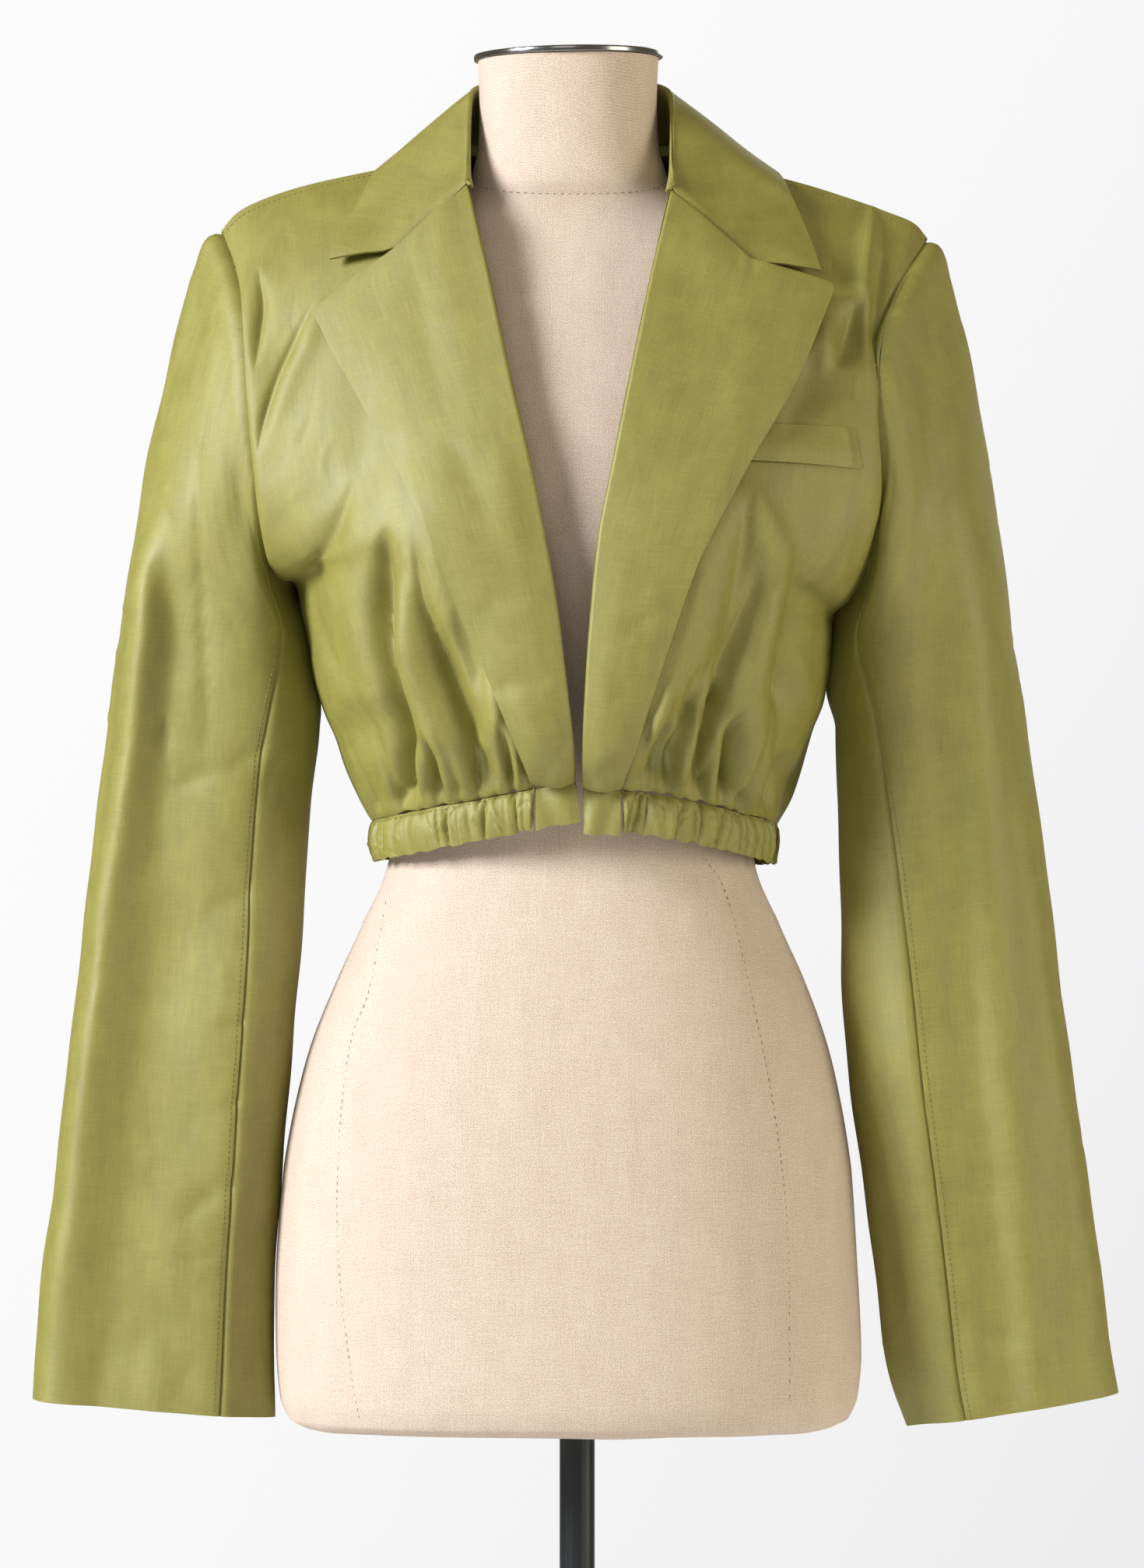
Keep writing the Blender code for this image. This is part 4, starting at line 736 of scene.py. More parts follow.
def gridPiece(name, outside, paint, closed=False):
    # a grid primitive bent to the outer surface, with its cut in metres as the UV map
    rows, columns = outside.shape[:2]
    bpy.ops.object.select_all(action="DESELECT")
    bpy.ops.mesh.primitive_grid_add(x_subdivisions=columns - 1, y_subdivisions=rows - 1, size=1,
        calc_uvs=True)
    piece = bpy.context.object
    piece.name = piece.data.name = name
    upward = outside[::-1]
    piece.data.vertices.foreach_set("co", upward.reshape(-1).astype(np.float32))
    across = runs(upward, 1)
    across -= across[:, columns // 2][:, None]
    cut = np.stack((across, runs(upward, 0)), axis=-1).reshape(-1, 2)
    piece.data.uv_layers[0].name = "cut"
    corners = np.zeros(len(piece.data.loops), np.int32)
    piece.data.loops.foreach_get("vertex_index", corners)
    piece.data.uv_layers["cut"].data.foreach_set("uv", cut[corners].reshape(-1).astype(np.float32))
    piece.data.materials.append(paint)
    piece.data.update()
    if closed:
        weld = piece.modifiers.new("weld", "WELD")
        weld.merge_threshold = 0.00002
    return piece


def clothPiece(name, outside, nodes, paint=None, thickness=None, edge=None,
    fullness=1.0):
    piece = gridPiece(name, outside, paint or olive)
    wall = piece.modifiers.new("wall", "SOLIDIFY")
    wall.thickness = thickness or cloth["thickness"]
    wall.offset = -1
    turned = piece.modifiers.new("turnedEdge", "BEVEL")
    turned.width = edge or cloth["edge"]
    turned.segments = 2
    turned.limit_method = "ANGLE"
    turned.angle_limit = math.radians(60)
    applyAll(piece)
    bpy.ops.object.shade_smooth()
    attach(piece, "root")
    if nodes:
        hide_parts(*nodes)
    wide = np.linalg.norm(np.diff(outside, axis=1), axis=2).sum(axis=1)
    tall = np.linalg.norm(np.diff(outside, axis=0), axis=2).sum(axis=0)
    flat = (float(wide.max()) * fullness, float(tall.max()))
    cells = np.linalg.norm(np.cross(np.diff(outside, axis=1)[:-1], np.diff(outside, axis=0)[:, :-1]), axis=2)
    area = min(float(cells.sum()) * fullness, flat[0] * flat[1])
    cutSizes[name] = (round(flat[0], 3), round(flat[1], 3), round(area, 4))
    return piece


cutSizes = {}


def stitchRow(name, points, normals, paint, pitch=0.0031, long=0.0021, thick=0.00028):
    # a row of short thread capsules lying along a line on the cloth
    run = runLength(points)
    count = int(run[-1] / pitch)
    verts, faces = [], []
    for i in range(count):
        middle = (i + 0.5) * pitch
        ends = [np.array([np.interp(middle + s * long / 2, run,
            points[:, k]) for k in range(3)]) for s in (-1, 1)]
        up = unit(np.array([np.interp(middle, run, normals[:, k]) for k in range(3)]))
        along = unit(ends[1] - ends[0])
        side = np.cross(along, up)
        base = len(verts)
        centre = up * thick * 0.5
        verts.append(ends[0])
        for share in (0.22, 0.78):
            spot = ends[0] + (ends[1] - ends[0]) * share + centre
            for a, b in ((1, 0), (0, 1), (-1, 0), (0, -1)):
                verts.append(spot + side * a * thick + up * b * thick)
        verts.append(ends[1])
        for k in range(4):
            n = (k + 1) % 4
            faces.append((base, base + 1 + n, base + 1 + k))
            faces.append((base + 1 + k, base + 1 + n, base + 5 + n, base + 5 + k))
            faces.append((base + 9, base + 5 + k, base + 5 + n))
    mesh = bpy.data.meshes.new(name)
    mesh.from_pydata([tuple(v) for v in verts], [], faces)
    mesh.materials.append(paint)
    mesh.shade_smooth()
    piece = bpy.data.objects.new(name, mesh)
    bpy.context.scene.collection.objects.link(piece)
    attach(piece, "root")
    return piece


def evenly(along, count):
    # parameter values at even distances along a surface line
    at = np.linspace(0, 1, 400)
    run = runLength(along(at))
    return np.interp(np.linspace(0, run[-1], count), run, at)


def tightEnds(values, steps=(0.0006, 0.0016)):
    # extra rows or columns close to both ends, so that edges hold their line
    values = np.asarray(values)
    span = values[-1] - values[0]
    extra = [values[0] + span * s for s in steps] + [values[-1] - span * s for s in steps]
    return np.sort(np.concatenate((values, extra)))


# places across the waist seam in as-seen mm: deep pleats of the band, which also pinch the cloth above
pleats = {
    "right": (-109, -105.6, -99, -89.3, -79.6, -75.2, -70.4, -64.2, -56.5, -48.4, -37, -31.2, -26.4),
    "left": (32.5, 37.4, 41.8, 50, 58.5, 68.6, 72.2, 82.7, 88.4, 94.2, 98.1, 103.8, 107.8, 111.3),
}
# long gathers over the seam: place, rise in mm, depth in mm, lean in mm over the rise
waistGathers = {
    "right": (
        (-107, 60, 3.0, 3), (-96, 100, 4.2, 4), (-84, 50, 3.4, 2), (-72, 70, 4.0, 5),
        (-62, 46, 3.4, 3), (-52, 62, 4.4, 6), (-42, 42, 3.6, 4), (-33, 80, 4.8, 8), (-21, 36, 3.0, 3),
    ),
    "left": (
        (110, 46, 3.0, -2), (101, 60, 3.8, -3), (91, 75, 4.2, 4), (81, 44, 3.6, 3), (72, 80, 5.2, 8),
        (62, 64, 4.6, 8), (53, 40, 3.4, 4), (45, 70, 4.6, 9), (36, 44, 3.8, 5), (27, 55, 3.6, 5),
    ),
}
pucker = {"front": 1.7, "band": 3.8, "seam": 0.4, "reach": 8.0, "gathers": 1.5}


pleatPowers = {
    100: (0.5, 0.9, 0.3, 1.3, 0.5, 1.0, 1.5, 0.9, 0.25, 0.3, 1.4, 0.5, 1.3),
    102: (0.5, 1.3, 1.2, 0.4, 0.9, 1.1, 1.2, 0.9, 0.8, 1.1, 0.9, 1.0, 0.8, 1.0),
}


def domes(run, valleys, seed):
    # round crests between sharp valleys, lower where two valleys are close
    draw = np.random.default_rng(seed)
    edges = np.sort(np.asarray(valleys, float))
    edges = np.concatenate(([edges[0] - 8], edges, [edges[-1] + 8]))
    powers = np.clip(draw.normal(0.8, 0.4, len(edges)), 0.15, 1.5)
    if seed in pleatPowers:
        powers[1:-1] = [power for _, power in sorted(zip(valleys, pleatPowers[seed]))]
    index = np.clip(np.searchsorted(edges, run) - 1, 0, len(edges) - 2)
    low, high = edges[index], edges[index + 1]
    share = np.clip((run - low) / (high - low), 0, 1)
    peak = share ** draw.uniform(0.7, 1.5, len(edges))[index]  # leaning crests
    crest = np.sin(math.pi * peak) ** 0.55 * np.minimum(1, (high - low) / 8.0) * draw.uniform(0.6, 1.15,
        len(edges))[index]
    floor = 1 - (powers[index] * (1 - share) + powers[index + 1] * share)
    return crest + floor * (1 - crest)


def waistRun(side):
    # distance along a front's waist seam, from the free edge, in mm
    u = np.linspace(0, 1, 900)
    return u, runLength(fronts[side].point(u, float(allRows))) * 1000


def gatherRelief(side, u, above):
    panel = fronts[side]
    columns, run = waistRun(side)
    at = np.interp(u, columns, run)
    total = np.zeros(np.broadcast(u, above).shape)
    high = np.clip(above, 0, None)
    for across, rise, deep, lean in waistGathers[side]:
        place = np.interp(panel.columnAtWaist(across), columns, run)
        away = at - place - sides[side] * lean * np.clip(high / rise, 0, 1) ** 1.3
        spread = (2.6 + 0.055 * np.clip(high, 0, rise)) * np.where(away * sides[side] > 0, 1.35, 0.8)
        fade = np.clip(1 - high / rise, 0, 1) ** 1.3 * (0.3 + 0.7 * ease(high, 0, 8))
        fall = np.exp(-1.3 * (np.sqrt((away / spread) ** 2 + 0.06) - 0.245))
        total -= pucker["gathers"] * deep * fade * fall
    valleys = [np.interp(panel.columnAtWaist(place), columns, run) for place in pleats[side]]
    crest = domes(at, valleys, 101 + sides[side])
    draw = np.random.default_rng(13)
    reach = pucker["reach"] * (1 + 0.45 * np.sin(at * 0.31 + draw.uniform(0, 6)) * np.sin(at * 0.117))
    total += pucker["front"] * (crest - 0.45) * np.exp(-high / reach) * ease(high, -0.5, 2.5)
    total -= pucker["seam"] * np.exp(-((high / 1.8) ** 2))
    return total / 1000


brim = {"from": (5.6, 7.2), "to": (9.2, 10.2), "rise": 0.006, "near": 3, "far": 28}


def makeFronts():
    size = {"columns": 122, "rows": 192}
    for side, panel in fronts.items():
        v = evenly(lambda t: panel.point(0.55, t * allRows), size["rows"]) * allRows
        u = evenly(lambda t: panel.point(t, 9.0), size["columns"])
        u, v = tightEnds(u), tightEnds(v, (0.0012, 0.003))
        grid = panel.point(u[None, :], v[:, None])
        spots = asSeen(grid)
        normals = panel.normal(u[None, :] + 0 * v[:, None], v[:, None] + 0 * u[None, :])
        seam = panel.point(u, float(allRows))[:, 2]
        above = (grid[..., 2] - seam[None, :]) * 1000
        depth = creased(frontCreases[side], spots, frontGain[side]) + creased(frontCrinkles[side], spots, 0.7)
        seamFade = ease(np.broadcast_to(above, depth.shape), 0, 9) * 0.75 + 0.25
        sideFade = ease(1 - u, 0, 0.05)[None, :] * 0.9 + 0.1
        depth = depth * seamFade * sideFade
        depth += waves(grid, 21 + sides[side], 0.075, 0.0009) * ease(v, 0, 1.5)[:, None] * sideFade
        depth += gatherRelief(side, u[None, :], above) * (ease(1 - u, 0, 0.02) * 0.8 + 0.2)[None, :]
        shaped = grid + normals * depth[..., None]
        away = np.linalg.norm(grid - grid[:, -1:], axis=2) * 1000
        strength = (seamStrength(side, v) * (1 - ease(v, 9.2, 10.5)))[:, None]
        shaped = shaped + seamNormal(side, v)[:, None] * (seamDip(away) * strength)[..., None]
        shaped[..., 1] -= seamFill(side, v[:, None], away)
        # the front's edge stands clear of the dark hollow under the arm
        near, far = (np.exp(-((away / brim[end]) ** 2)) for end in ("near", "far"))
        shaped[..., 1] -= (brim["rise"] * between(v, brim))[:, None] * (1 - near) * far
        if side == "right":
            shaped = shaped[:, ::-1]
        clothPiece(f"front_{side}_cloth", shaped, [f"front_{side}"], fullness=1.12)
        shoulder = panel.point(np.linspace(0.12, 0.99, 80), np.full(80, 0.16))
        tops = panel.normal(np.linspace(0.12, 0.99, 80), np.full(80, 0.16))
        stitchRow(f"shoulder_stitch_{side}", shoulder, tops, thread)
    print("fronts ready")


# long folds of the back: place across it (-1 to 1), lowest and highest height, depth and width
backFolds = (
    (-0.42, 1150, 1330, 4.6, 0.07), (0.36, 1140, 1300, 4.2, 0.08), (0.05, 1130, 1250, 3.4, 0.06),
    (-0.72, 1220, 1400, 4.6, 0.05), (0.74, 1230, 1410, 4.8, 0.05), (-0.2, 1140, 1260, 3.0, 0.04),
    (0.58, 1140, 1290, 3.4, 0.045), (-0.62, 1130, 1250, 3.2, 0.04),
)
# short gathers over its waist seam, in mm and in shares of its half width
backGathers = {"count": 22, "rise": (25, 100), "deep": (1.6, 4.2), "gain": 1.9, "wide": (0.018, 0.034),
    "lean": 0.0006}


def makeBack():
    size = {"columns": 132, "rows": 128}
    v = evenly(lambda t: backPanel.at(0.3, t * allRows), size["rows"]) * allRows
    across = tightEnds(np.linspace(-1, 1, size["columns"]))
    v = tightEnds(v, (0.0012, 0.003))
    grid = backPanel.at(across[None, :], v[:, None])
    flipped = grid[:, ::-1]
    normals = gridNormals(flipped)
    seam = backPanel.at(across, float(allRows))[::-1, 2]
    above = (flipped[..., 2] - seam[None, :]) * 1000
    column = across[::-1][None, :]
    draw = np.random.default_rng(5)
    depth = waves(flipped, 31, 0.09, 0.0012) * ease(v, 0, 1.5)[:, None]
    count = backGathers["count"]
    for place in np.linspace(-0.94, 0.94, count) + draw.normal(0, 0.02, count):
        rise, deep, wide = (draw.uniform(*backGathers[key]) for key in ("rise", "deep", "wide"))
        lean = draw.uniform(-backGathers["lean"], backGathers["lean"])
        fade = np.clip(1 - above / rise, 0, 1) ** 1.5 * ease(above, 0, 8)
        spread = wide + 0.0004 * np.clip(above, 0, rise)
        fall = np.exp(-(((column - place - lean * above) / spread) ** 2))
        depth -= backGathers["gain"] * deep / 1000 * fade * fall
    for place, low, high, deep, wide in backFolds:
        height = flipped[..., 2] * 1000
        bell = ease(height, low, low + 50) * (1 - ease(height, high - 70, high))
        depth -= deep / 1000 * bell * np.exp(-(((column - place) / wide) ** 2))
    edgeFade = (ease(1 - np.abs(across[::-1]), 0, 0.04) * 0.85 + 0.15)[None, :]
    shaped = flipped + normals * (depth * edgeFade)[..., None]
    clothPiece("back_cloth", shaped, ["back"], fullness=1.12)
    print("back ready")


lapelTop = {
    "right": ((-57.2, 1467.9), (-98.6, 1433.2), (-134.6, 1409.4)),
    "left": ((54.1, 1464.8), (97.7, 1427.2), (143.0, 1412.6)),
}
lapelEdge = {
    "right": (
        (-134.6, 1409.4), (-142.6, 1400.0), (-139.0, 1389.0), (-121.4, 1356.8), (-92.4, 1303.6),
            (-75.7, 1264.7),
        (-60.3, 1224.8), (-46.6, 1194.9), (-29.9, 1154.9), (-22.4, 1135.8),
    ),
    "left": (
        (143.0, 1412.6), (143.4, 1408.0), (138.0, 1394.0), (121.9, 1356.8), (99.0, 1316.8), (78.8, 1277.6),
        (67.3, 1251.7), (45.3, 1187.4), (33.4, 1150.0), (26.6, 1133.4),
    ),
}
lapelEnd = {"right": (1.6, 1137.0), "left": (6.4, 1133.6)}
lapelLift = {"roll": 2.6, "middle": 4.9, "edge": 2.6, "gorge": 4.2, "flare": {"right": 2.6, "left": 7.0}}


def makeLapels():
    size = {"rows": 160, "columns": 56, "roll": 8}
    for side, panel in fronts.items():
        rows = size["rows"]
        corner = np.array(lapelTop[side], float)
        share = tightEnds(np.linspace(0, 1, size["columns"]), (0.004, 0.01))
        lengths = runLength(corner)
        top = np.stack([np.interp(share * lengths[-1], lengths, corner[:, i]) for i in (0, 1)], axis=1)
        knots = [lapelTop[side][0]] + [row[:2] for row in rollLine[side][2:-1]] + [lapelEnd[side]]
        roll, edge = spaced(knots, rows), spaced(lapelEdge[side], rows)
        line = roll[:, None] + (edge - roll)[:, None] * share[None, :, None]
        straight = roll[0] + (edge[0] - roll[0]) * share[:, None]
        fade = np.clip(1 - np.arange(rows) / (rows * 0.2), 0, 1)[:, None, None]
        line = line + (top - straight)[None] * fade
        lift = smooth((lapelLift["roll"], lapelLift["middle"], lapelLift["middle"] - 0.2, lapelLift["edge"]),
            share * 3)
        stand = ease(share, 0.25, 1.0)[None] * (1 - ease(np.linspace(0, 1, rows), 0.05, 0.62))[:, None]
        high = (1 - ease(np.arange(rows) / rows, 0, 0.14))[:, None] * (1 - ease(share, 0.15, 0.75))[None]
        lift = lift[None] + high * lapelLift["gorge"] + stand * lapelLift["flare"][side]
        lift = lift + creased(lapelCreases[side], line, 0.6) * 1000
        lift = lift + creased(frontCreases[side], line) * 1000 * 0.15 * share[None] ** 1.5
        lift = lift + creased(crinkles(311 + sides[side], 36, (520, 300, 960, 1000), 0.1, 0.9), line,
            0.35) * 1000
        face = panel.laid(line, lift)
        # the roll: a half turn of cloth from under the front's edge up to the lapel's face
        at = panel.find(line[:, 0])
        out = panel.normal(at[:, 0], at[:, 1])
        inward = unit(face[:, 0] - face[:, 4])
        radius = lapelLift["roll"] / 2000
        turns = np.linspace(0, math.pi, size["roll"] + 1)[:-1]
        centre = face[:, 0] - out * radius
        bend = [centre + radius * (np.sin(t) * inward - np.cos(t) * out) for t in turns]
        grid = np.concatenate((np.stack(bend, axis=1), face), axis=1)
        grid = grid - inward[:, None] * radius * 0.9
        if side == "right":
            grid = grid[:, ::-1]
        clothPiece(f"lapel_{side}_cloth", grid, [f"lapel_{side}"], thickness=0.0022,
            edge=0.001)
    print("lapels ready")


pocket = {"top": ((104.0, 1338.0), (161.5, 1334.8)), "bottom": ((98.0, 1316.6), (164.0, 1311.4)), "lift": 2.2}


def makeWelt():
    rows, columns = 26, 66
    down, across = np.meshgrid(np.linspace(0, 1, rows), np.linspace(0, 1, columns), indexing="ij")
    top = np.array(pocket["top"][0]) + (np.array(pocket["top"][1]) - pocket["top"][0]) * across[..., None]
    low = np.array(pocket["bottom"][0]) + (np.array(pocket["bottom"][1]) - pocket["bottom"][0]) * across[...,
        None]
    spots = top + (low - top) * down[..., None]
    spots[..., 1] += 0.7 * np.sin(math.pi * across)
    lift = 1.0 + 1.5 * ease(down, 0, 0.75) - 0.9 * np.exp(-((1 - across) / 0.02) ** 2)
    for place, rise, wide in ((0.93, -0.6, 0.018), (0.89, 0.5, 0.03)):  # the fold beside its end
        lift = lift + rise * np.exp(-(((across - place) / wide) ** 2))
    lift = lift + creased(frontCreases["left"], spots) * 1000 * 0.8
    clothPiece("welt_cloth", fronts["left"].laid(spots, lift), ["pocket_welt"], edge=0.00035)
    print("welt ready")


collarRows = {
    "right": (
        ((-55.6, 1471.0, -50), (-57.2, 1473.0, -57), (-134.2, 1428.1, None)),
        ((-57.2, 1478.5, -37), (-57.4, 1486.0, -41), (-126.7, 1446.6, None)),
        ((-59.0, 1485.0, -24), (-57.2, 1503.0, -25), (-118.8, 1466.8, -30)),
        ((-61.6, 1491.5, -8), (-56.2, 1520.0, -8), (-113.4, 1480.6, -6)),
        ((-60.6, 1494.5, 12), (-54.8, 1525.5, 14), (-108.0, 1482.5, 24)),
        ((-49.0, 1495.0, 42), (-45.0, 1529.0, 42), (-88.0, 1477.0, 66)),
        ((-28.0, 1494.5, 62), (-26.0, 1531.0, 60), (-50.0, 1469.0, 90)),
        ((0.0, 1493.5, 71), (0.0, 1532.0, 67), (0.0, 1465.0, 98)),
    ),
    "left": (
        ((52.6, 1468.5, -50), (54.6, 1470.5, -57), (137.3, 1421.1, None)),
        ((54.3, 1476.5, -37), (55.2, 1484.5, -41), (131.1, 1444.8, None)),
        ((56.0, 1483.5, -24), (55.4, 1502.5, -25), (124.5, 1464.6, -30)),
        ((58.2, 1491.0, -8), (55.0, 1519.6, -8), (118.4, 1479.0, -6)),
        ((58.2, 1494.0, 12), (53.0, 1525.4, 14), (112.0, 1482.0, 24)),
        ((47.0, 1494.5, 42), (43.0, 1529.0, 42), (90.0, 1476.5, 66)),
        ((27.0, 1494.0, 62), (25.0, 1531.0, 60), (51.0, 1469.0, 90)),
        ((0.0, 1493.5, 71), (0.0, 1532.0, 67), (0.0, 1465.0, 98)),
    ),
}
collarShape = {"notch": {"right": (-98.6, 1434.8), "left": (97.7, 1428.8)}, "lift": 5.0, "fold": 0.0022,
    "spread": 1.0}


tipLift = {"right": 4.2, "left": 4.5}


def collarSection(side, station):
    seamRows, foldRows, edgeRows = zip(*collarRows[side])
    edgeRows = [row if row[2] is not None else (*row[:2], 0) for row in edgeRows]
    at = np.array(float(station))
    seam, fold = seen(*smooth(seamRows, at)), seen(*smooth(foldRows, at))
    flatEdge = smooth(edgeRows, at)
    edge = seen(*flatEdge)
    if station < 2:
        onFront = fronts[side].laid(flatEdge[:2], collarShape["lift"])
        blend = min(1, 2 - station)
        edge = onFront * blend + seen(flatEdge[0], flatEdge[1], edgeRows[2][2]) * (1 - blend)
    outward = unit((edge - fold) * (1, 1, 0))
    start = fold + outward * 2 * collarShape["fold"]
    ridge = fold + outward * collarShape["fold"] + (0, 0, collarShape["fold"] * 0.9)
    middle = start + (edge - start) * 0.5
    if station < 1:
        notch = fronts[side].laid(collarShape["notch"][side], collarShape["lift"] + 0.9)
        middle = notch * (1 - station) + middle * station
    bulge = collarShape["spread"] / 1000 * min(1, station)
    over = unit(np.array((outward[0], outward[1], 0.9)))
    quarter = start + (middle - start) * 0.5 + over * bulge * 0.8
    late = middle + (edge - middle) * 0.5 + over * bulge * 0.5
    middle = middle + over * bulge
    return np.array((seam, seam + (fold - seam) * 0.55, fold, ridge, start, quarter, middle, late, edge))


def makeCollar():
    stations = np.linspace(0, 7, 36)
    left = [collarSection("left", station) for station in stations]
    right = [collarSection("right", station) for station in stations[-2::-1]]
    coarse = np.array(left + right)
    for _ in range(10):  # even out the change from the front's surface to the free edge
        even = (coarse[:-2] + 2 * coarse[1:-1] + coarse[2:]) / 4
        keep = np.clip((np.minimum(np.arange(1, len(coarse) - 1), np.arange(len(coarse) - 2, 0, -1)) - 2) / 4,
            0, 1)
        coarse[1:-1] += (even - coarse[1:-1]) * keep[:, None, None]
    around = smooth(coarse, tightEnds(np.linspace(0, len(coarse) - 1, 170), (0.002, 0.005)))
    down = np.sort(np.concatenate((np.linspace(0, 8, 54), (0.04, 2.25, 2.75, 3.25, 3.75, 7.94, 7.98))))
    grid = smooth(around.transpose(1, 0, 2), down)
    normals = gridNormals(grid)
    fall = ease(down, 4, 5)[:, None]
    rise = waves(grid, 41, 0.06, 0.0007) * fall
    gorge = (ease(down, 3.2, 4.4) * (1 - ease(down, 5.75, 6.2)))[:, None]
    tip = ease(down, 6.1, 7.6)[:, None]
    for end, lift in ((slice(None), tipLift["left"]), (slice(None, None, -1), tipLift["right"])):
        run = runs(grid[:, end], 1)[:, end] * 1000
        rise = rise - 0.0013 * gorge * np.exp(-((run / 2.4) ** 2))
        stand = lift / 1000 * tip * np.exp(-((run / 18) ** 2))
        rise = rise + stand
        grid[..., 2] -= 0.55 * stand
    grid = grid + normals * rise[..., None]
    clothPiece("collar_cloth", grid, ["collar"], thickness=0.0016, edge=0.0006)
    print("collar ready")


sleeveRows = {
    "right": (
        (-256.1, -148.4, 1216.0, 1208.0, 58, 2, 135), (-261.4, -142.8, 1178.0, 1172.0, 55, 3, 121),
        (-267.1, -147.8, 1129.0, 1124.0, 50, 3, 119), (-273.7, -150.9, 1077.0, 1071.0, 46, 2, 119.5),
        (-279.4, -155.3, 1024.0, 1016.0, 44, 0, 121.4), (-285.1, -159.3, 972.0, 964.0, 42, -2, 122.4),
        (-291.7, -164.1, 920.0, 911.0, 39, -3, 123.7), (-297.9, -167.6, 867.0, 857.0, 36, -3, 124.5),
        (-303.4, -168.1, 815.0, 805.0, 33, -2, 123.2), (-305.4, -168.1, 787.0, 776.6, 32, -2, 122.1),
    ),
    "left": (
        (249.5, 147.0, 1212.0, 1202.0, 58, 2, 135), (255.2, 149.0, 1178.0, 1170.0, 55, 3, 126),
        (262.2, 150.5, 1129.0, 1122.0, 50, 3, 119.5), (270.2, 152.2, 1076.0, 1069.0, 46, 2, 114.9),
        (276.8, 153.1, 1024.0, 1015.0, 44, 0, 111), (283.8, 157.5, 973.0, 962.0, 42, -2, 110.7),
        (290.8, 164.6, 921.0, 908.0, 39, -3, 110.7), (297.9, 171.6, 870.0, 854.0, 36, -3, 111.3),
        (304.5, 178.6, 819.0, 803.0, 33, -2, 112.5), (308.9, 189.2, 790.5, 771.5, 32, -2, 116),
    ),
}
sleeveShape = {"columns": 20, "seamColumn": 7, "round": 2.15}
sleeveCreases = {
    "right": (
        (-1.6, 3.0, 0.3, ((250, 560, 0), (250, 660, 1), (254, 760, 1), (258, 860, 1), (260, 930, 0.8),
            (258, 970, 0))),
        (-2.2, 3.4, 0.3, ((206, 910, 0), (204, 935, 1), (203, 960, 0.6), (205, 975, 0))),
        (-1.8, 6.0, 0.0, ((330, 960, 0.6), (312, 972, 1), (292, 985, 0.7), (276, 992, 0))),
        (-1.5, 5.0, 0.0, ((210, 1012, 0), (236, 1003, 1), (262, 994, 0.6), (285, 988, 0))),
        (-1.6, 8.0, 0.0, ((320, 1130, 0.8), (300, 1150, 1), (275, 1165, 0.6), (250, 1180, 0))),
        (-1.2, 4.0, 0.0, ((308, 1310, 1), (290, 1318, 0.8), (268, 1322, 0))),
        (-1.2, 3.0, 0.0, ((304, 1412, 1), (288, 1420, 0.8), (262, 1426, 0))),
        (-2.0, 7.0, 0.0, ((296, 1520, 0.8), (272, 1530, 1), (240, 1555, 0.8), (218, 1580, 0))),
        (-1.2, 3.0, 0.0, ((215, 1608, 0), (245, 1618, 1), (268, 1614, 0.8), (284, 1600, 0))),
        (-2.4, 9.0, 0.0, ((130, 1690, 0), (122, 1740, 1), (114, 1790, 1), (110, 1830, 0.8))),
        (2.0, 9.0, 0.0, ((205, 1700, 0), (200, 1760, 1), (196, 1830, 0.8))),
        (-1.6, 5.0, 0.3, ((362, 960, 0), (350, 985, 1), (338, 1010, 0.6))),
        (-2.0, 8.0, 0.0, ((228, 330, 0), (244, 400, 0.7), (252, 470, 0.6), (248, 540, 0))),
        (2.2, 14, 0.0, ((266, 420, 0), (280, 520, 1), (290, 620, 0.6), (292, 700, 0))),
    ),
    "left": (
        (-3.8, 13, 0.2, ((1176, 420, 0), (1180, 520, 0.5), (1196, 640, 0.8), (1206, 760, 1), (1216, 900, 1),
            (1226, 1060, 1), (1240, 1240, 1), (1254, 1420, 0.9), (1270, 1600, 0.8), (1284, 1790, 0.5))),
        (3.2, 14, 0.0, ((1216, 500, 0), (1226, 620, 0.8), (1240, 760, 1), (1252, 920, 1), (1268, 1100, 0.9),
            (1284, 1280, 1), (1300, 1460, 0.8), (1316, 1640, 0.7), (1330, 1790, 0.4))),
        (-3.0, 12, 0.0, ((1270, 760, 0), (1286, 900, 0.9), (1300, 1050, 1), (1318, 1240, 0.9),
            (1336, 1420, 0.9), (1354, 1620, 0.8), (1372, 1790, 0.5))),
        (2.4, 11, 0.0, ((1150, 520, 0), (1150, 620, 0.8), (1160, 740, 0.9), (1176, 900, 0.8),
            (1192, 1100, 0.7), (1206, 1300, 0.4), (1216, 1500, 0))),
        (-1.5, 4.0, 0.0, ((1172, 1084, 0.5), (1190, 1076, 1), (1212, 1074, 0.6), (1228, 1080, 0))),
        (-1.5, 4.0, 0.0, ((1170, 1110, 0.8), (1186, 1116, 1), (1206, 1110, 0.5), (1222, 1100, 0))),
        (-1.4, 7.0, 0.0, ((1186, 1300, 0.6), (1206, 1318, 1), (1232, 1326, 0.6), (1258, 1322, 0))),
        (-1.4, 6.0, 0.0, ((1204, 1516, 0.6), (1226, 1530, 1), (1256, 1536, 0.6), (1280, 1528, 0))),
        (-1.6, 5.0, 0.0, ((1240, 1722, 0), (1262, 1716, 1), (1288, 1722, 0.8), (1312, 1732, 0))),
        (2.0, 8.0, 0.0, ((1250, 1690, 0), (1256, 1740, 1), (1262, 1800, 0.8))),
    ),
}
# the same cloth behind: column round the sleeve, rise and fall heights, depth, width in columns
sleeveBackFolds = (
    (15.2, 1230, 820, -4.5, 1.1), (16.8, 1300, 780, 3.0, 1.0), (13.9, 1180, 900, 2.6, 0.9),
        (18.4, 1200, 800, -2.4, 0.9),
)


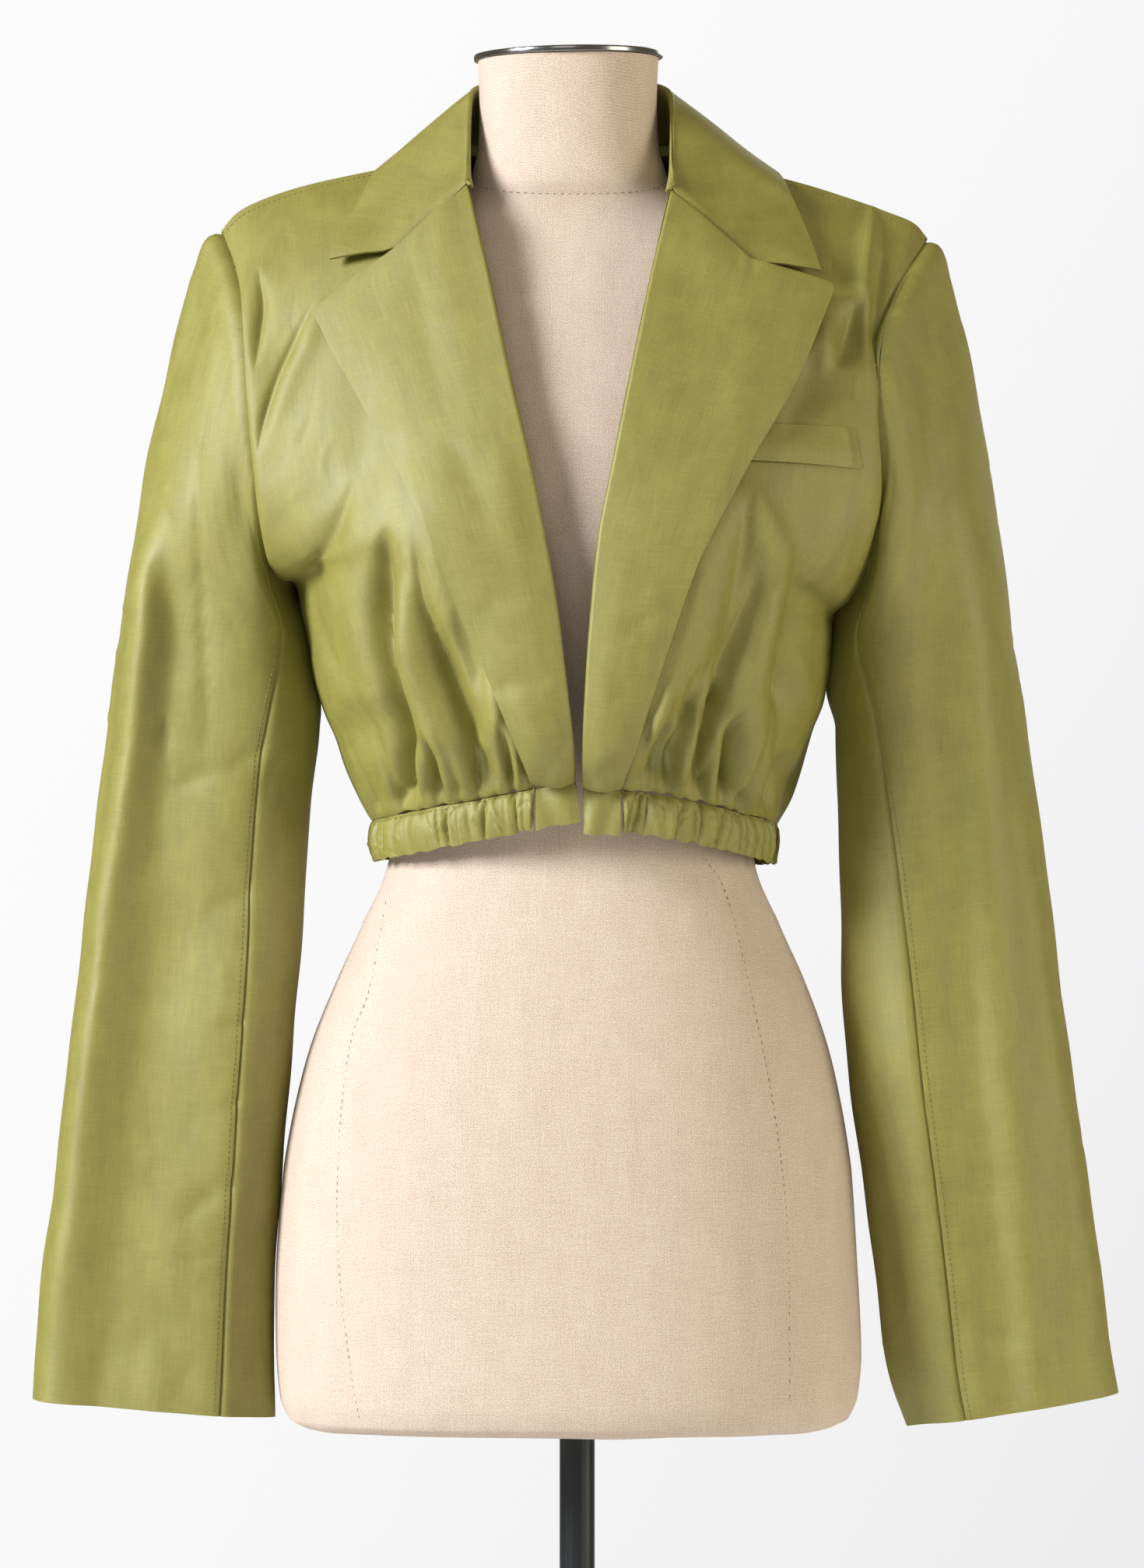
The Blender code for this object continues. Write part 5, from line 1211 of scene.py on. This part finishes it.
sleeveCrinkles = {
    "right": crinkles(321, 90, (60, 330, 350, 1800), 0.12, 1.0) + crinkles(322, 26, (110, 560, 340, 1100),
        1.2, 0.8),
    "left": crinkles(323, 90, (1130, 330, 1420, 1800), -0.12, 1.0) + crinkles(324, 26,
        (1150, 560, 1380, 1100), -1.2, 0.8),
}


# the flattened front of a hanging sleeve: place from its outer (-1) to its inner edge (1), lift in
# half depths; the right one has another form above the elbow
sleeveFlat = {
    "rightHigh": ((-1, 0), (-0.96, 0.12), (-0.9, 0.2), (-0.8, 0.22), (-0.72, 0.16), (-0.6, -0.02),
        (-0.5, -0.15), (-0.42, -0.18), (-0.3, -0.17), (-0.15, -0.16), (0, -0.13), (0.25, -0.07), (0.5, 0),
        (0.65, 0.03), (0.8, 0), (1, 0)),
    "right": ((-1, 0), (-0.96, 0.17), (-0.9, 0.28), (-0.82, 0.25), (-0.7, 0.08), (-0.55, -0.13),
        (-0.4, -0.26), (-0.3, -0.3), (-0.15, -0.3), (0, -0.25), (0.25, -0.13), (0.5, 0), (0.65, 0.03),
        (0.8, 0), (1, 0)),
    "left": ((-1, 0), (-0.9, 0.03), (-0.7, 0.0), (-0.45, -0.04), (-0.2, -0.06), (0, -0.1), (0.2, -0.03),
        (0.4, 0.04), (0.6, 0.02), (0.8, 0), (1, 0)),
}


def tucked(side, spots, turn):
    # spare cloth under the arm reaches the body's side seam, in mm
    seamSpots = asSeen(places(sideSeam[side]))[::-1]
    body = np.interp(spots[..., 1], seamSpots[:, 1], seamSpots[:, 0])
    gap = np.clip(sides[side] * (spots[..., 0] - body) + 1.2, 0, 12)
    bell = ease(spots[..., 1], 1165, 1200) * (1 - 0.5 * ease(spots[..., 1], 1228, 1246))
    return gap * bell * ease(np.abs(turn), 7.2, 9.6)


def sleeveMiddle(side, spots):
    rows = np.array(sleeveRows[side], float)[::-1]
    return np.interp(spots[..., 1], rows[:, 2], rows[:, 5]) / 1000


def flattened(side, spots, depth):
    # how far towards the eye the front of a sleeve moves, in metres
    rows = np.array(sleeveRows[side], float)[::-1]
    outer = np.interp(spots[..., 1], rows[:, 2], rows[:, 0])
    inner = np.interp(spots[..., 1], rows[:, 3], rows[:, 1])
    place = np.clip((2 * spots[..., 0] - outer - inner) / (inner - outer), -1, 1)
    lift = np.interp(place, *np.transpose(sleeveFlat[side]))
    if side == "right":  # its fold is narrower above the elbow
        upper = ease(spots[..., 1], 1040, 1120)
        lift = lift + (np.interp(place, *np.transpose(sleeveFlat["rightHigh"])) - lift) * upper
    for _ in range(3):  # round the profile's corners
        lift[:, 1:-1] = (lift[:, :-2] + 2 * lift[:, 1:-1] + lift[:, 2:]) / 4
    half = np.interp(spots[..., 1], rows[:, 2], rows[:, 4]) / 1000
    along = 1 - ease(spots[..., 1], 1235, 1305)
    low = 0.75 + 0.25 * ease(spots[..., 1], 780, 960)
    return half * lift * along * low * ease(-depth, 0.0, 0.012)


def armLoop(side, columns):
    front, behind = outerEdge(side), outerEdge(side, behind=True)
    ahead = smooth(front, np.clip(columns, 0, 10))
    back = smooth(behind, np.clip(20 - columns, 0, 10))
    return np.where((columns <= 10)[:, None], ahead, back)


def sleeveRing(row, columns):
    outer, inner, outerHeight, innerHeight, halfDepth, middleDepth, angle = row
    seam = math.radians(angle)
    first, half = sleeveShape["seamColumn"], sleeveShape["columns"] // 2
    turn = np.interp(columns, (0, first, half, 2 * half - first, 2 * half),
        (0, seam, math.pi, 2 * math.pi - seam, 2 * math.pi))
    wide, deep = roundedRing(turn, sleeveShape["round"])
    across = (outer + inner) / 2 + (outer - inner) / 2 * wide
    height = (outerHeight + innerHeight) / 2 + (outerHeight - innerHeight) / 2 * wide
    ring = seen(across, height, middleDepth)
    ring[..., 1] = (middleDepth - halfDepth * deep) / 1000
    return ring


def sleeveRings(side, columns, armRings=34, capRings=26):
    rows = np.array(sleeveRows[side], float)
    loop = armLoop(side, columns)
    first, second = sleeveRing(rows[0], columns), sleeveRing(rows[1], columns)
    outward = 0.5 + 0.5 * np.cos(math.pi * columns / (sleeveShape["columns"] / 2))
    reach = np.linalg.norm(first - loop, axis=1)
    leave = np.stack((sides[side] * outward, 0 * reach, -1.3 * (1 - outward)), axis=1)
    leave = unit(leave) * (reach * (0.3 - 0.1 * outward))[:, None]
    arrive = unit(second - first) * (reach * 0.42)[:, None]
    outline = spaced(seen(*np.transpose(capLine[side]), rows[0][5]), 201)
    top = sleeveRing(rows[0], np.zeros(1))[0]
    topLoop = armLoop(side, np.zeros(1))[0]
    topReach = np.linalg.norm(top - topLoop)
    topLeave = unit(np.array((sides[side], 0, 0))) * topReach * 0.2
    topArrive = unit(sleeveRing(rows[1], np.zeros(1))[0] - top) * topReach * 0.42
    rings = []
    for t in np.concatenate(((0, 0.012, 0.03), np.linspace(0, 1, capRings)[1:])):
        b3 = ((1 - t) ** 3, 3 * t * (1 - t) ** 2, 3 * t * t * (1 - t), t**3)
        ring = loop * b3[0] + (loop + leave) * b3[1] + (first - arrive) * b3[2] + first * b3[3]
        crown = topLoop * b3[0] + (topLoop + topLeave) * b3[1] + (top - topArrive) * b3[2] + top * b3[3]
        ring += (smooth(outline, 200 * t) - crown) * (1, 0, 1) * (outward**1.3)[:, None]
        rings.append(ring)
    for place in np.linspace(0, len(rows) - 1, armRings)[1:]:
        rings.append(sleeveRing(smooth(rows, place), columns))
    return np.array(rings)


# relief of a sleeve in mm: how far it stands forward beside the chest and sinks inside the arm, with
# the columns or distances from its armhole seam that these are between
sleeveRelief = {
    "ahead": 3.5, "aheadColumn": 4.6, "aheadWidth": 1.9, "aheadRun": 90,
    "inside": 3.5, "insideColumns": (7, 10), "insideRun": (260, 420),
    "headColumns": 4.5, "backBlend": 60, "backTop": 120,
    "upperSink": 0.4, "underSink": 2.2, "sinkWidth": 1.5,
}


def makeSleeves():
    size = {"rows": 210, "upper": 80, "under": 44}
    for side in sides:
        seamColumn, around = sleeveShape["seamColumn"], sleeveShape["columns"]
        spans = {
            "upper": (-seamColumn, seamColumn, size["upper"]),
            "under": (seamColumn, around - seamColumn, size["under"]),
        }
        for part, (low, high, count) in spans.items():
            columns = tightEnds(np.linspace(low, high, count), (0.0025, 0.006))
            rings = sleeveRings(side, np.mod(columns, sleeveShape["columns"]))
            run = runLength(rings[:, len(columns) // 2])
            at = np.interp(tightEnds(np.linspace(0, run[-1], size["rows"]), (0.0008, 0.002)), run,
                np.arange(len(rings)))
            grid = smooth(rings, at)
            if side == "right":
                order = slice(None)
            else:
                order = slice(None, None, -1)
            grid, columns = grid[:, order], columns[order]
            normals = gridNormals(grid)
            facing = ease(-normals[..., 1], 0.0, 0.35)
            spots = asSeen(grid)
            depth = creased(sleeveCreases[side], spots, 1.1) * facing
            depth += creased(sleeveCrinkles[side], spots)
            behind = ease(normals[..., 1], 0.0, 0.35)
            height = grid[..., 2] * 1000
            for column, high, low, deep, wide in sleeveBackFolds:
                blend, top = sleeveRelief["backBlend"], sleeveRelief["backTop"]
                bell = ease(height, low - blend, low + blend) * (1 - ease(height, high - top, high))
                away = np.mod(columns - column + 10, 20) - 10
                depth += deep / 1000 * behind * bell * np.exp(-((away / wide) ** 2))[None, :]
            depth += waves(grid, 51 + sides[side], 0.07, 0.0008)
            run = runs(grid, 0) * 1000
            turn = (np.mod(columns + 10, 20) - 10)[None, :]
            ahead = np.exp(-(((turn - sleeveRelief["aheadColumn"]) / sleeveRelief["aheadWidth"]) ** 2))
            first, last = sleeveRelief["insideColumns"]
            inside = np.sin(math.pi * np.clip((turn - first) / (last - first), 0, 1)) ** 2
            inside = inside * ease(run, *sleeveRelief["insideRun"])
            strength = np.where(turn > 0, seamStrength(side, np.abs(turn)), 1.0)
            depth = depth * ease(run, 0, 12)
            depth += headRoll(run) * np.exp(-((turn / sleeveRelief["headColumns"]) ** 2)) * strength
            swell = np.sin(math.pi * np.clip(run / sleeveRelief["aheadRun"], 0, 1)) ** 2 * ahead * strength
            depth += (sleeveRelief["ahead"] * swell - sleeveRelief["inside"] * inside) / 1000
            shaped = grid + normals * depth[..., None]
            shaped = shaped + seamNormal(side, np.abs(turn[0]))[None] * (seamDip(run) * strength)[..., None]
            shaped[..., 1] -= flattened(side, spots, grid[..., 1] - sleeveMiddle(side, spots))
            shaped[..., 1] -= seamFill(side, np.abs(turn), run) * (turn > 0)
            spare = tucked(side, spots, turn) / 1000
            shaped[..., 0] -= sides[side] * spare
            shaped[..., 1] += spare * (turn > 0)
            for end in (0, -1):  # the under sleeve's seam edge turns in beneath the upper one
                far = np.linalg.norm(grid - grid[:, end][:, None], axis=2) * 1000
                sink = sleeveRelief[f"{part}Sink"] / 1000 * np.exp(-((far / sleeveRelief["sinkWidth"]) ** 2))
                shaped = shaped - normals * (sink * ease(run, 4, 16))[..., None]
            clothPiece(f"sleeve_{part}_{side}_cloth", shaped, [f"sleeve_{part}_{side}"])
            if part == "upper":
                seam = -4 if side == "right" else 3
                stitchRow(f"sleeve_stitch_{side}", shaped[6:, seam], gridNormals(shaped)[6:, seam], thread)
    print("sleeves ready")


bandShape = {"height": 0.0222, "tuck": 0.0015, "rows": 26, "bulge": 0.8}
bandTabs = {
    "right": {"inner": 1.6, "outer": -20.5, "lowInner": 5.0, "height": 22.6, "lift": 1.2},
    "left": {"inner": 6.6, "outer": 27.5, "lowInner": 6.6, "height": 25.0, "lift": 0.2},
}


bandCrinkles = crinkles(331, 60, (478, 1005, 742, 1112), 0.5, 0.4) + crinkles(332, 60,
    (745, 1012, 1000, 1115), -0.5, 0.4)
bandCrinkles = [(deep * 4.5, wide * 1.1, skew, path) for deep, wide, skew, path in bandCrinkles]


def bandGrid(line, run, valleys, seed, ends, above):
    # rows of the band under a waist line; valleys are places in mm along it, above is the relief of
    # the cloth that it is sewn to
    out = outwards(line)
    share = tightEnds(np.linspace(0, 1, bandShape["rows"]), (0.015, 0.04))[:, None]
    draw = np.random.default_rng(seed)
    valleys = np.sort(valleys)
    drift = np.interp(run, np.linspace(run[0], run[-1], 24), draw.normal(0, 2.8, 24))
    place = run[None, :] + drift[None, :] * (share - 0.3)
    crest = domes(place, valleys, seed)
    fine = sum(draw.uniform(0.05, 0.15) * np.sin(place * draw.uniform(0.9, 2.2) + share * draw.uniform(-3,
        3) + draw.uniform(0, 6)) for _ in range(4))
    body = np.sin(math.pi * np.clip(share * 0.86 + 0.07, 0, 1)) ** 0.6
    depth = (crest - 0.45) * pucker["band"] * body + fine * body * 0.5
    depth = depth + bandShape["bulge"] * np.sin(math.pi * share) ** 0.8
    depth = depth * ease(share, 0, 0.15) - bandShape["tuck"] * 1000 * share**2 - 0.9 * (1 - ease(share, 0,
        0.06))
    depth = depth + above[None, :] * 1000 * (1 - ease(share, 0, 0.4))
    flat = np.ones(len(run))
    for end in ends:  # quiet beside the tabs
        flat = flat * ease(np.abs(run - run[end]), 0, 1.6)
    hem = (crest[-1] - 0.5) * 0.0009 + draw.normal(0, 1,
        7) @ np.sin(np.outer(np.arange(3, 10), run / 16)) * 0.0002
    down = share * (bandShape["height"] + 0.0009) - 0.0009 + share**3 * (hem * flat)[None, :]
    flatGrid = line[None] - np.stack((0 * down, 0 * down, down), axis=-1)
    depth = depth + creased(bandCrinkles, asSeen(flatGrid)) * 1000
    return flatGrid + out[None] * (depth * (0.25 + 0.75 * flat[None, :]) / 1000)[..., None]


def makeBand():
    for side, panel in fronts.items():
        start = panel.columnAtWaist(bandTabs[side]["outer"] + sides[side] * 0.4)
        columns, run = waistRun(side)
        first = np.interp(start, columns, run)
        at = np.linspace(first, run[-1], int((run[-1] - first) / 0.56))
        u = np.interp(at, run, columns)
        even = panel.point(u, float(allRows))
        valleys = [np.interp(panel.columnAtWaist(place), columns, run) for place in pleats[side]]
        above = gatherRelief(side, u[None, :], np.zeros((1, 1)))[0]
        grid = bandGrid(even, at, valleys, 101 + sides[side], (0, -1), above)
        if side == "right":
            grid = grid[:, ::-1]
        clothPiece(f"waistband_{side}_cloth", grid, [f"waistband_{side}"], fullness=1.35,
            edge=0.0005)
        normals = gridNormals(grid)
        stitchRow(f"band_stitch_{side}", grid[4], normals[4], thread, pitch=0.0034, long=0.0022)
    line = backPanel.at(np.linspace(-1, 1, 1600), float(allRows))[::-1]
    run = runLength(line) * 1000
    at = np.linspace(0, run[-1], int(run[-1] / 0.95))
    even = np.stack([np.interp(at, run, line[:, i]) for i in range(3)], axis=1)
    draw = np.random.default_rng(81)
    valleys = np.linspace(4, run[-1] - 4, 44) + draw.normal(0, 1.2, 44)
    grid = bandGrid(even, at, valleys, 91, (0, -1), 0 * at)
    clothPiece("waistband_back_cloth", grid, ["waistband_back"], fullness=1.35, edge=0.0005)
    stitchRow("band_stitch_back", grid[4], gridNormals(grid)[4], thread, pitch=0.0034, long=0.0022)
    print("waistband ready")


def makeTabs():
    for side, panel in fronts.items():
        tab = bandTabs[side]
        share, across = np.meshgrid(tightEnds(np.linspace(0, 1, 22), (0.02, 0.05)),
            tightEnds(np.linspace(0, 1, 22), (0.02, 0.05)), indexing="ij")
        inner = tab["inner"] + (tab["lowInner"] - tab["inner"]) * share
        spot = inner + (tab["outer"] - inner) * across
        grid = panel.point(panel.columnAtWaist(spot), np.full(spot.shape, float(allRows)))
        grid[..., 0] = eye["axis"] + spot / 1000 * 0.975
        grid[..., 1] -= tab["lift"] / 1000 * share + 0.0012 * np.sin(math.pi * share) * ease(across, 0,
            0.2) + 0.0004
        grid[..., 1] += 0.0006 * np.sin(across * 9 + 3 * share)
        grid[..., 2] -= tab["height"] / 1000 * share + 0.0006 * np.sin(across * 7) * share
        if side == "right":
            grid = grid[:, ::-1]
        clothPiece(f"band_tab_{side}_cloth", grid, [f"band_tab_{side}"], thickness=0.0022,
            edge=0.0006)
    print("tabs ready")


formRows = (
    (1543.0, 51.0, -49, 53, -2.2), (1520.0, 50.2, -48, 53, -2.2), (1494.0, 51.0, -48, 54, -2.0),
    (1482.0, 54.0, -49, 55, -1.6), (1470.0, 60.0, -49, 57, -1.0), (1459.0, 80.0, -46, 56, 0.0),
    (1446.0, 112.0, -47, 60, 0.0), (1430.0, 138.0, -55, 68, 0.0), (1402.0, 152.0, -72, 80, 0.0),
    (1352.0, 154.0, -96, 93, 0.0), (1304.0, 150.0, -112, 96, 0.0), (1262.0, 144.0, -118, 95, 0.0),
    (1222.0, 134.0, -113, 92, 0.0), (1180.0, 118.0, -99, 86, 0.0), (1140.0, 106.0, -88, 80, 0.0),
    (1110.0, 102.0, -82, 74, 0.0), (1085.0, 104.6, -84, 76, -0.4), (1058.0, 116.6, -90, 92, -0.6),
    (1022.0, 132.7, -98, 104, -0.8), (987.0, 146.0, -103, 112, -1.6), (952.0, 154.7, -106, 116, -2.2),
    (917.0, 160.6, -107, 117, -2.6), (864.0, 164.3, -107, 115, -3.0), (811.0, 165.4, -106, 112, -1.8),
    (787.0, 163.0, -104, 109, -1.8), (776.0, 158.0, -100, 105, -1.8), (772.0, 150.0, -93, 98, -1.8),
)
# seams of the form below the jacket, seen from in front: pixels
formSeams = {
    "right": ((500, 1130), (474, 1269), (451, 1333), (436, 1450), (433, 1595), (447, 1740), (462, 1828)),
    "left": ((905, 1100), (935, 1152), (972, 1304), (999, 1450), (1013, 1595), (1016, 1834)),
}
formShape = {"round": 2.25, "tilt": 0.02, "columns": 150, "rows": 210, "neckSeam": 1478, "seamTilt": 0.3}


def neckSeamHeight(depth):
    return formShape["neckSeam"] + formShape["seamTilt"] * depth


def formRing(height, turn):
    rows = np.array(formRows)[::-1]
    at = np.interp(height, rows[:, 0], np.arange(len(rows)))
    halfWidth, front, back, across = np.moveaxis(smooth(rows[:, 1:], at), -1, 0)
    wide, deep = roundedRing(turn, formShape["round"])
    x = eye["axis"] + (across + halfWidth * wide) / 1000
    y = ((front + back) / 2 + (back - front) / 2 * deep) / 1000
    return np.stack(np.broadcast_arrays(x, y, height / 1000), axis=-1)


def onForm(spots):
    # the place on the form's front that the eye sees at each pixel
    seenAt = fromPixels(spots)
    depth = np.full(len(seenAt), -90.0)
    for _ in range(8):
        place = seen(seenAt[:, 0], seenAt[:, 1], depth)
        height = place[:, 2] * 1000
        rows = np.array(formRows)[::-1]
        at = np.interp(height, rows[:, 0], np.arange(len(rows)))
        halfWidth, front, back, across = smooth(rows[:, 1:], at).T
        wide = np.clip(((place[:, 0] - eye["axis"]) * 1000 - across) / halfWidth, -0.999, 0.999)
        deep = (1 - np.abs(wide) ** formShape["round"]) ** (1 / formShape["round"])
        depth = (front + back) / 2 - (back - front) / 2 * deep
    return seen(seenAt[:, 0], seenAt[:, 1], depth)


def makeForm():
    heights = np.concatenate((np.linspace(1543, 800, formShape["rows"]), np.linspace(798, 772, 20)))
    turn = np.linspace(math.pi / 2, 2.5 * math.pi, formShape["columns"] + 1)
    grid = formRing(heights[:, None], turn[None, :])
    ragged = np.random.default_rng(3)
    grid[0, :, 2] += formShape["tilt"] * (grid[0, :, 0] - eye["axis"])
    hem = sum(0.0005 * math.sqrt(1 / k) * np.sin(k * turn * 3 + ragged.uniform(0, 6)) for k in range(1, 6))
    grid[-3:, :, 2] += hem * np.array((0.4, 1, 0.6))[:, None]
    normals = gridNormals(grid)
    below = grid[..., 2] * 1000 - neckSeamHeight(grid[..., 1] * 1000)
    grid -= normals * (0.0008 * np.exp(-((below / 2.0) ** 2)))[..., None]
    for side, path in formSeams.items():
        line = onForm(smooth(path, np.linspace(0, len(path) - 1, 60)))
        far = np.min(np.linalg.norm(grid[:, :, None] - line[None, None], axis=3), axis=2)
        grid -= normals * (0.0006 * np.exp(-((far / 0.0022) ** 2)))[..., None]
    grid[:, -1] = grid[:, 0]
    body = gridPiece("formBody", grid, linen, closed=True)
    applyAll(body)
    bpy.ops.object.mode_set(mode="EDIT")
    bpy.ops.mesh.select_all(action="DESELECT")
    bpy.ops.mesh.select_non_manifold(extend=False)
    bpy.ops.mesh.edge_face_add()
    bpy.ops.object.mode_set(mode="OBJECT")
    mesh = bmesh.new()
    mesh.from_mesh(body.data)
    loops = [edge for edge in mesh.edges if edge.is_boundary]
    if loops:
        bmesh.ops.holes_fill(mesh, edges=loops)
    mesh.to_mesh(body.data)
    mesh.free()
    bpy.ops.object.shade_smooth_by_angle(angle=math.radians(50))
    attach(body, "root")
    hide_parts("form_torso")
    for side, path in formSeams.items():
        line = onForm(smooth(path, np.linspace(0, len(path) - 1, 80)))
        out = outwards(line)
        stitchRow(f"form_seam_{side}", line - out * 0.0004, out, darkThread, pitch=0.0042, long=0.0024)
    turns = np.linspace(0, 2 * math.pi, 160)
    ring = formRing(np.full(160, float(formShape["neckSeam"])), turns)
    for _ in range(4):
        ring = formRing(neckSeamHeight(ring[:, 1] * 1000), turns)
    out = outwards(ring)
    stitchRow("form_neck_seam", ring - out * 0.0006, out, darkThread, pitch=0.0042, long=0.0024)
    print("form ready")


def makeCap():
    cap = {"radius": 0.0535, "thick": 0.0036, "across": -0.002, "depth": 0.002, "height": 1.543,
        "gap": 0.0003}
    x = eye["axis"] + cap["across"]
    z = cap["height"] + formShape["tilt"] * cap["across"] + cap["thick"] / 2 + cap["gap"]
    bpy.ops.object.select_all(action="DESELECT")
    bpy.ops.mesh.primitive_cylinder_add(vertices=96, radius=cap["radius"], depth=cap["thick"],
        location=(x, cap["depth"], z))
    disc = bpy.context.object
    disc.name = disc.data.name = "cap_disc"
    disc.rotation_euler = (0, -math.atan(formShape["tilt"]), 0)
    bpy.ops.object.transform_apply(location=True, rotation=True, scale=True)
    bpy.ops.object.mode_set(mode="EDIT")
    bpy.ops.mesh.select_all(action="DESELECT")
    mesh = bmesh.from_edit_mesh(disc.data)
    for face in mesh.faces:
        face.select = face.normal.z > 0.9
    bpy.ops.mesh.inset(thickness=0.0022, depth=0)
    bpy.ops.mesh.inset(thickness=0.0012, depth=-0.0006)
    bpy.ops.mesh.inset(thickness=0.02, depth=0.0004)
    bpy.ops.object.mode_set(mode="OBJECT")
    rim = disc.modifiers.new("rim", "BEVEL")
    rim.width = 0.0009
    rim.segments = 3
    rim.limit_method = "ANGLE"
    rim.angle_limit = math.radians(40)
    applyAll(disc)
    disc.data.materials.append(chrome)
    bpy.ops.object.shade_smooth_by_angle(angle=math.radians(35))
    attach(disc, "root")
    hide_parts("neck_cap")
    print("cap ready")


def dressNode(node, paint):
    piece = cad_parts[node]
    piece.data.materials.clear()
    piece.data.materials.append(paint)
    select(piece)
    bpy.ops.object.shade_smooth_by_angle(angle=math.radians(35))


makeForm()
makeFronts()
makeBack()
makeLapels()
makeWelt()
makeCollar()
makeSleeves()
makeBand()
makeTabs()
makeCap()
for node in ("stand_pole", "stand_base"):
    dressNode(node, poleBlack)


# ---- studio ----
studio = {
    "floor": {"radius": 6.0, "drop": 0.0004, "colour": (0.86, 0.86, 0.85), "roughness": 0.7,
        "fade": (1.0, 5.5)},
    "light": {"colour": (1.0, 0.92, 0.69), "strength": 0.25},
    # the backdrop behind, seen by the camera alone: painted shade that slopes it from light at the upper left
    # to dark at the lower right, as a direction, and its tones
    "wall": {"way": (1, 0, -0.55), "from": -0.115, "to": 0.124, "power": 1.6, "light": 0.975, "fall": -0.128},
}


def makeStudio():
    bpy.ops.object.select_all(action="DESELECT")
    ground, light, wall = studio["floor"], studio["light"], studio["wall"]
    bpy.ops.mesh.primitive_circle_add(vertices=96, radius=ground["radius"], fill_type="NGON",
        location=(0, 0, -ground["drop"]))
    floor = bpy.context.object
    floor.name = "floor"
    paint = bpy.data.materials.new("paleFloor")
    paint.use_nodes = True
    tree = paint.node_tree
    shader = tree.nodes["Principled BSDF"]
    shader.inputs["Base Color"].default_value = (*ground["colour"], 1)
    shader.inputs["Roughness"].default_value = ground["roughness"]
    place = tree.nodes.new("ShaderNodeTexCoord")
    far = tree.nodes.new("ShaderNodeVectorMath")
    far.operation = "LENGTH"
    tree.links.new(place.outputs["Object"], far.inputs[0])
    fade = tree.nodes.new("ShaderNodeMapRange")
    fade.inputs["From Min"].default_value, fade.inputs["From Max"].default_value = ground["fade"]
    fade.inputs["To Min"].default_value = 1.0
    fade.inputs["To Max"].default_value = 0.0
    tree.links.new(far.outputs["Value"], fade.inputs["Value"])
    tree.links.new(fade.outputs[0], shader.inputs["Alpha"])
    floor.data.materials.append(paint)
    world = bpy.data.worlds.new("studio")
    bpy.context.scene.world = world
    world.use_nodes = True
    tree = world.node_tree
    tree.nodes.clear()
    out = tree.nodes.new("ShaderNodeOutputWorld")
    fill = tree.nodes.new("ShaderNodeBackground")
    fill.inputs["Color"].default_value = (*light["colour"], 1)
    fill.inputs["Strength"].default_value = light["strength"]
    # painted shade on the backdrop: the camera sees a plain tone that darkens towards the lower right, away
    # from the key light
    back = tree.nodes.new("ShaderNodeBackground")
    back.inputs["Strength"].default_value = 1.0
    way = tree.nodes.new("ShaderNodeTexCoord")
    slope = tree.nodes.new("ShaderNodeVectorMath")
    slope.operation = "DOT_PRODUCT"
    slope.inputs[1].default_value = wall["way"]
    tree.links.new(way.outputs["Generated"], slope.inputs[0])
    ramp = tree.nodes.new("ShaderNodeMapRange")
    ramp.inputs["From Min"].default_value, ramp.inputs["From Max"].default_value = wall["from"], wall["to"]
    tree.links.new(slope.outputs["Value"], ramp.inputs["Value"])
    tone = addMath(tree, "POWER", ramp.outputs[0], wall["power"])
    tone = addMath(tree, "MULTIPLY_ADD", tone, wall["fall"], wall["light"])
    tree.links.new(tone, back.inputs["Color"])
    ray = tree.nodes.new("ShaderNodeLightPath")
    mix = tree.nodes.new("ShaderNodeMixShader")
    tree.links.new(ray.outputs["Is Camera Ray"], mix.inputs[0])
    tree.links.new(fill.outputs[0], mix.inputs[1])
    tree.links.new(back.outputs[0], mix.inputs[2])
    tree.links.new(mix.outputs[0], out.inputs[0])
    lamps = {
        "key": {"place": (-3.35, -1.95, 2.8), "aim": (0, 0, 1.15), "size": (1.4, 1.6), "power": 300,
            "colour": (0.93, 0.965, 1.0)},
        "fill": {"place": (3.5, -1.7, 1.6), "aim": (0, 0, 1.1), "size": (1.8, 2.4), "power": 80,
            "colour": (1.0, 0.92, 0.74)},
        "front": {"place": (-0.5, -4.4, 3.0), "aim": (0, 0, 1.1), "size": (2.2, 1.4), "power": 16,
            "colour": (1.0, 1.0, 1.0)},
        "rear": {"place": (1.6, 3.4, 2.6), "aim": (0, 0, 1.1), "size": (2.0, 2.0), "power": 30,
            "colour": (1.0, 1.0, 1.0)},
    }
    for name, lamp in lamps.items():
        bpy.ops.object.light_add(type="AREA", location=lamp["place"])
        softbox = bpy.context.object
        softbox.name = name
        softbox.data.shape = "RECTANGLE"
        softbox.data.size, softbox.data.size_y = lamp["size"]
        softbox.data.energy = lamp["power"]
        softbox.data.color = lamp["colour"]
        way = Vector(lamp["aim"]) - Vector(lamp["place"])
        softbox.rotation_euler = way.to_track_quat("-Z", "Y").to_euler()
    bpy.ops.object.camera_add(location=(eye["axis"], -eye["distance"], eye["height"]),
        rotation=(math.pi / 2, 0, 0))
    camera = bpy.context.object
    camera.data.sensor_fit = "VERTICAL"
    camera.data.sensor_height = 24
    camera.data.lens = 24 * eye["distance"] / (2014 * eye["pixel"] / 1000)
    camera.data.clip_end = 60
    bpy.context.scene.camera = camera
    bpy.context.scene.view_settings.view_transform = "Standard"
    print("studio ready")


makeStudio()
print("cut sizes", cutSizes)
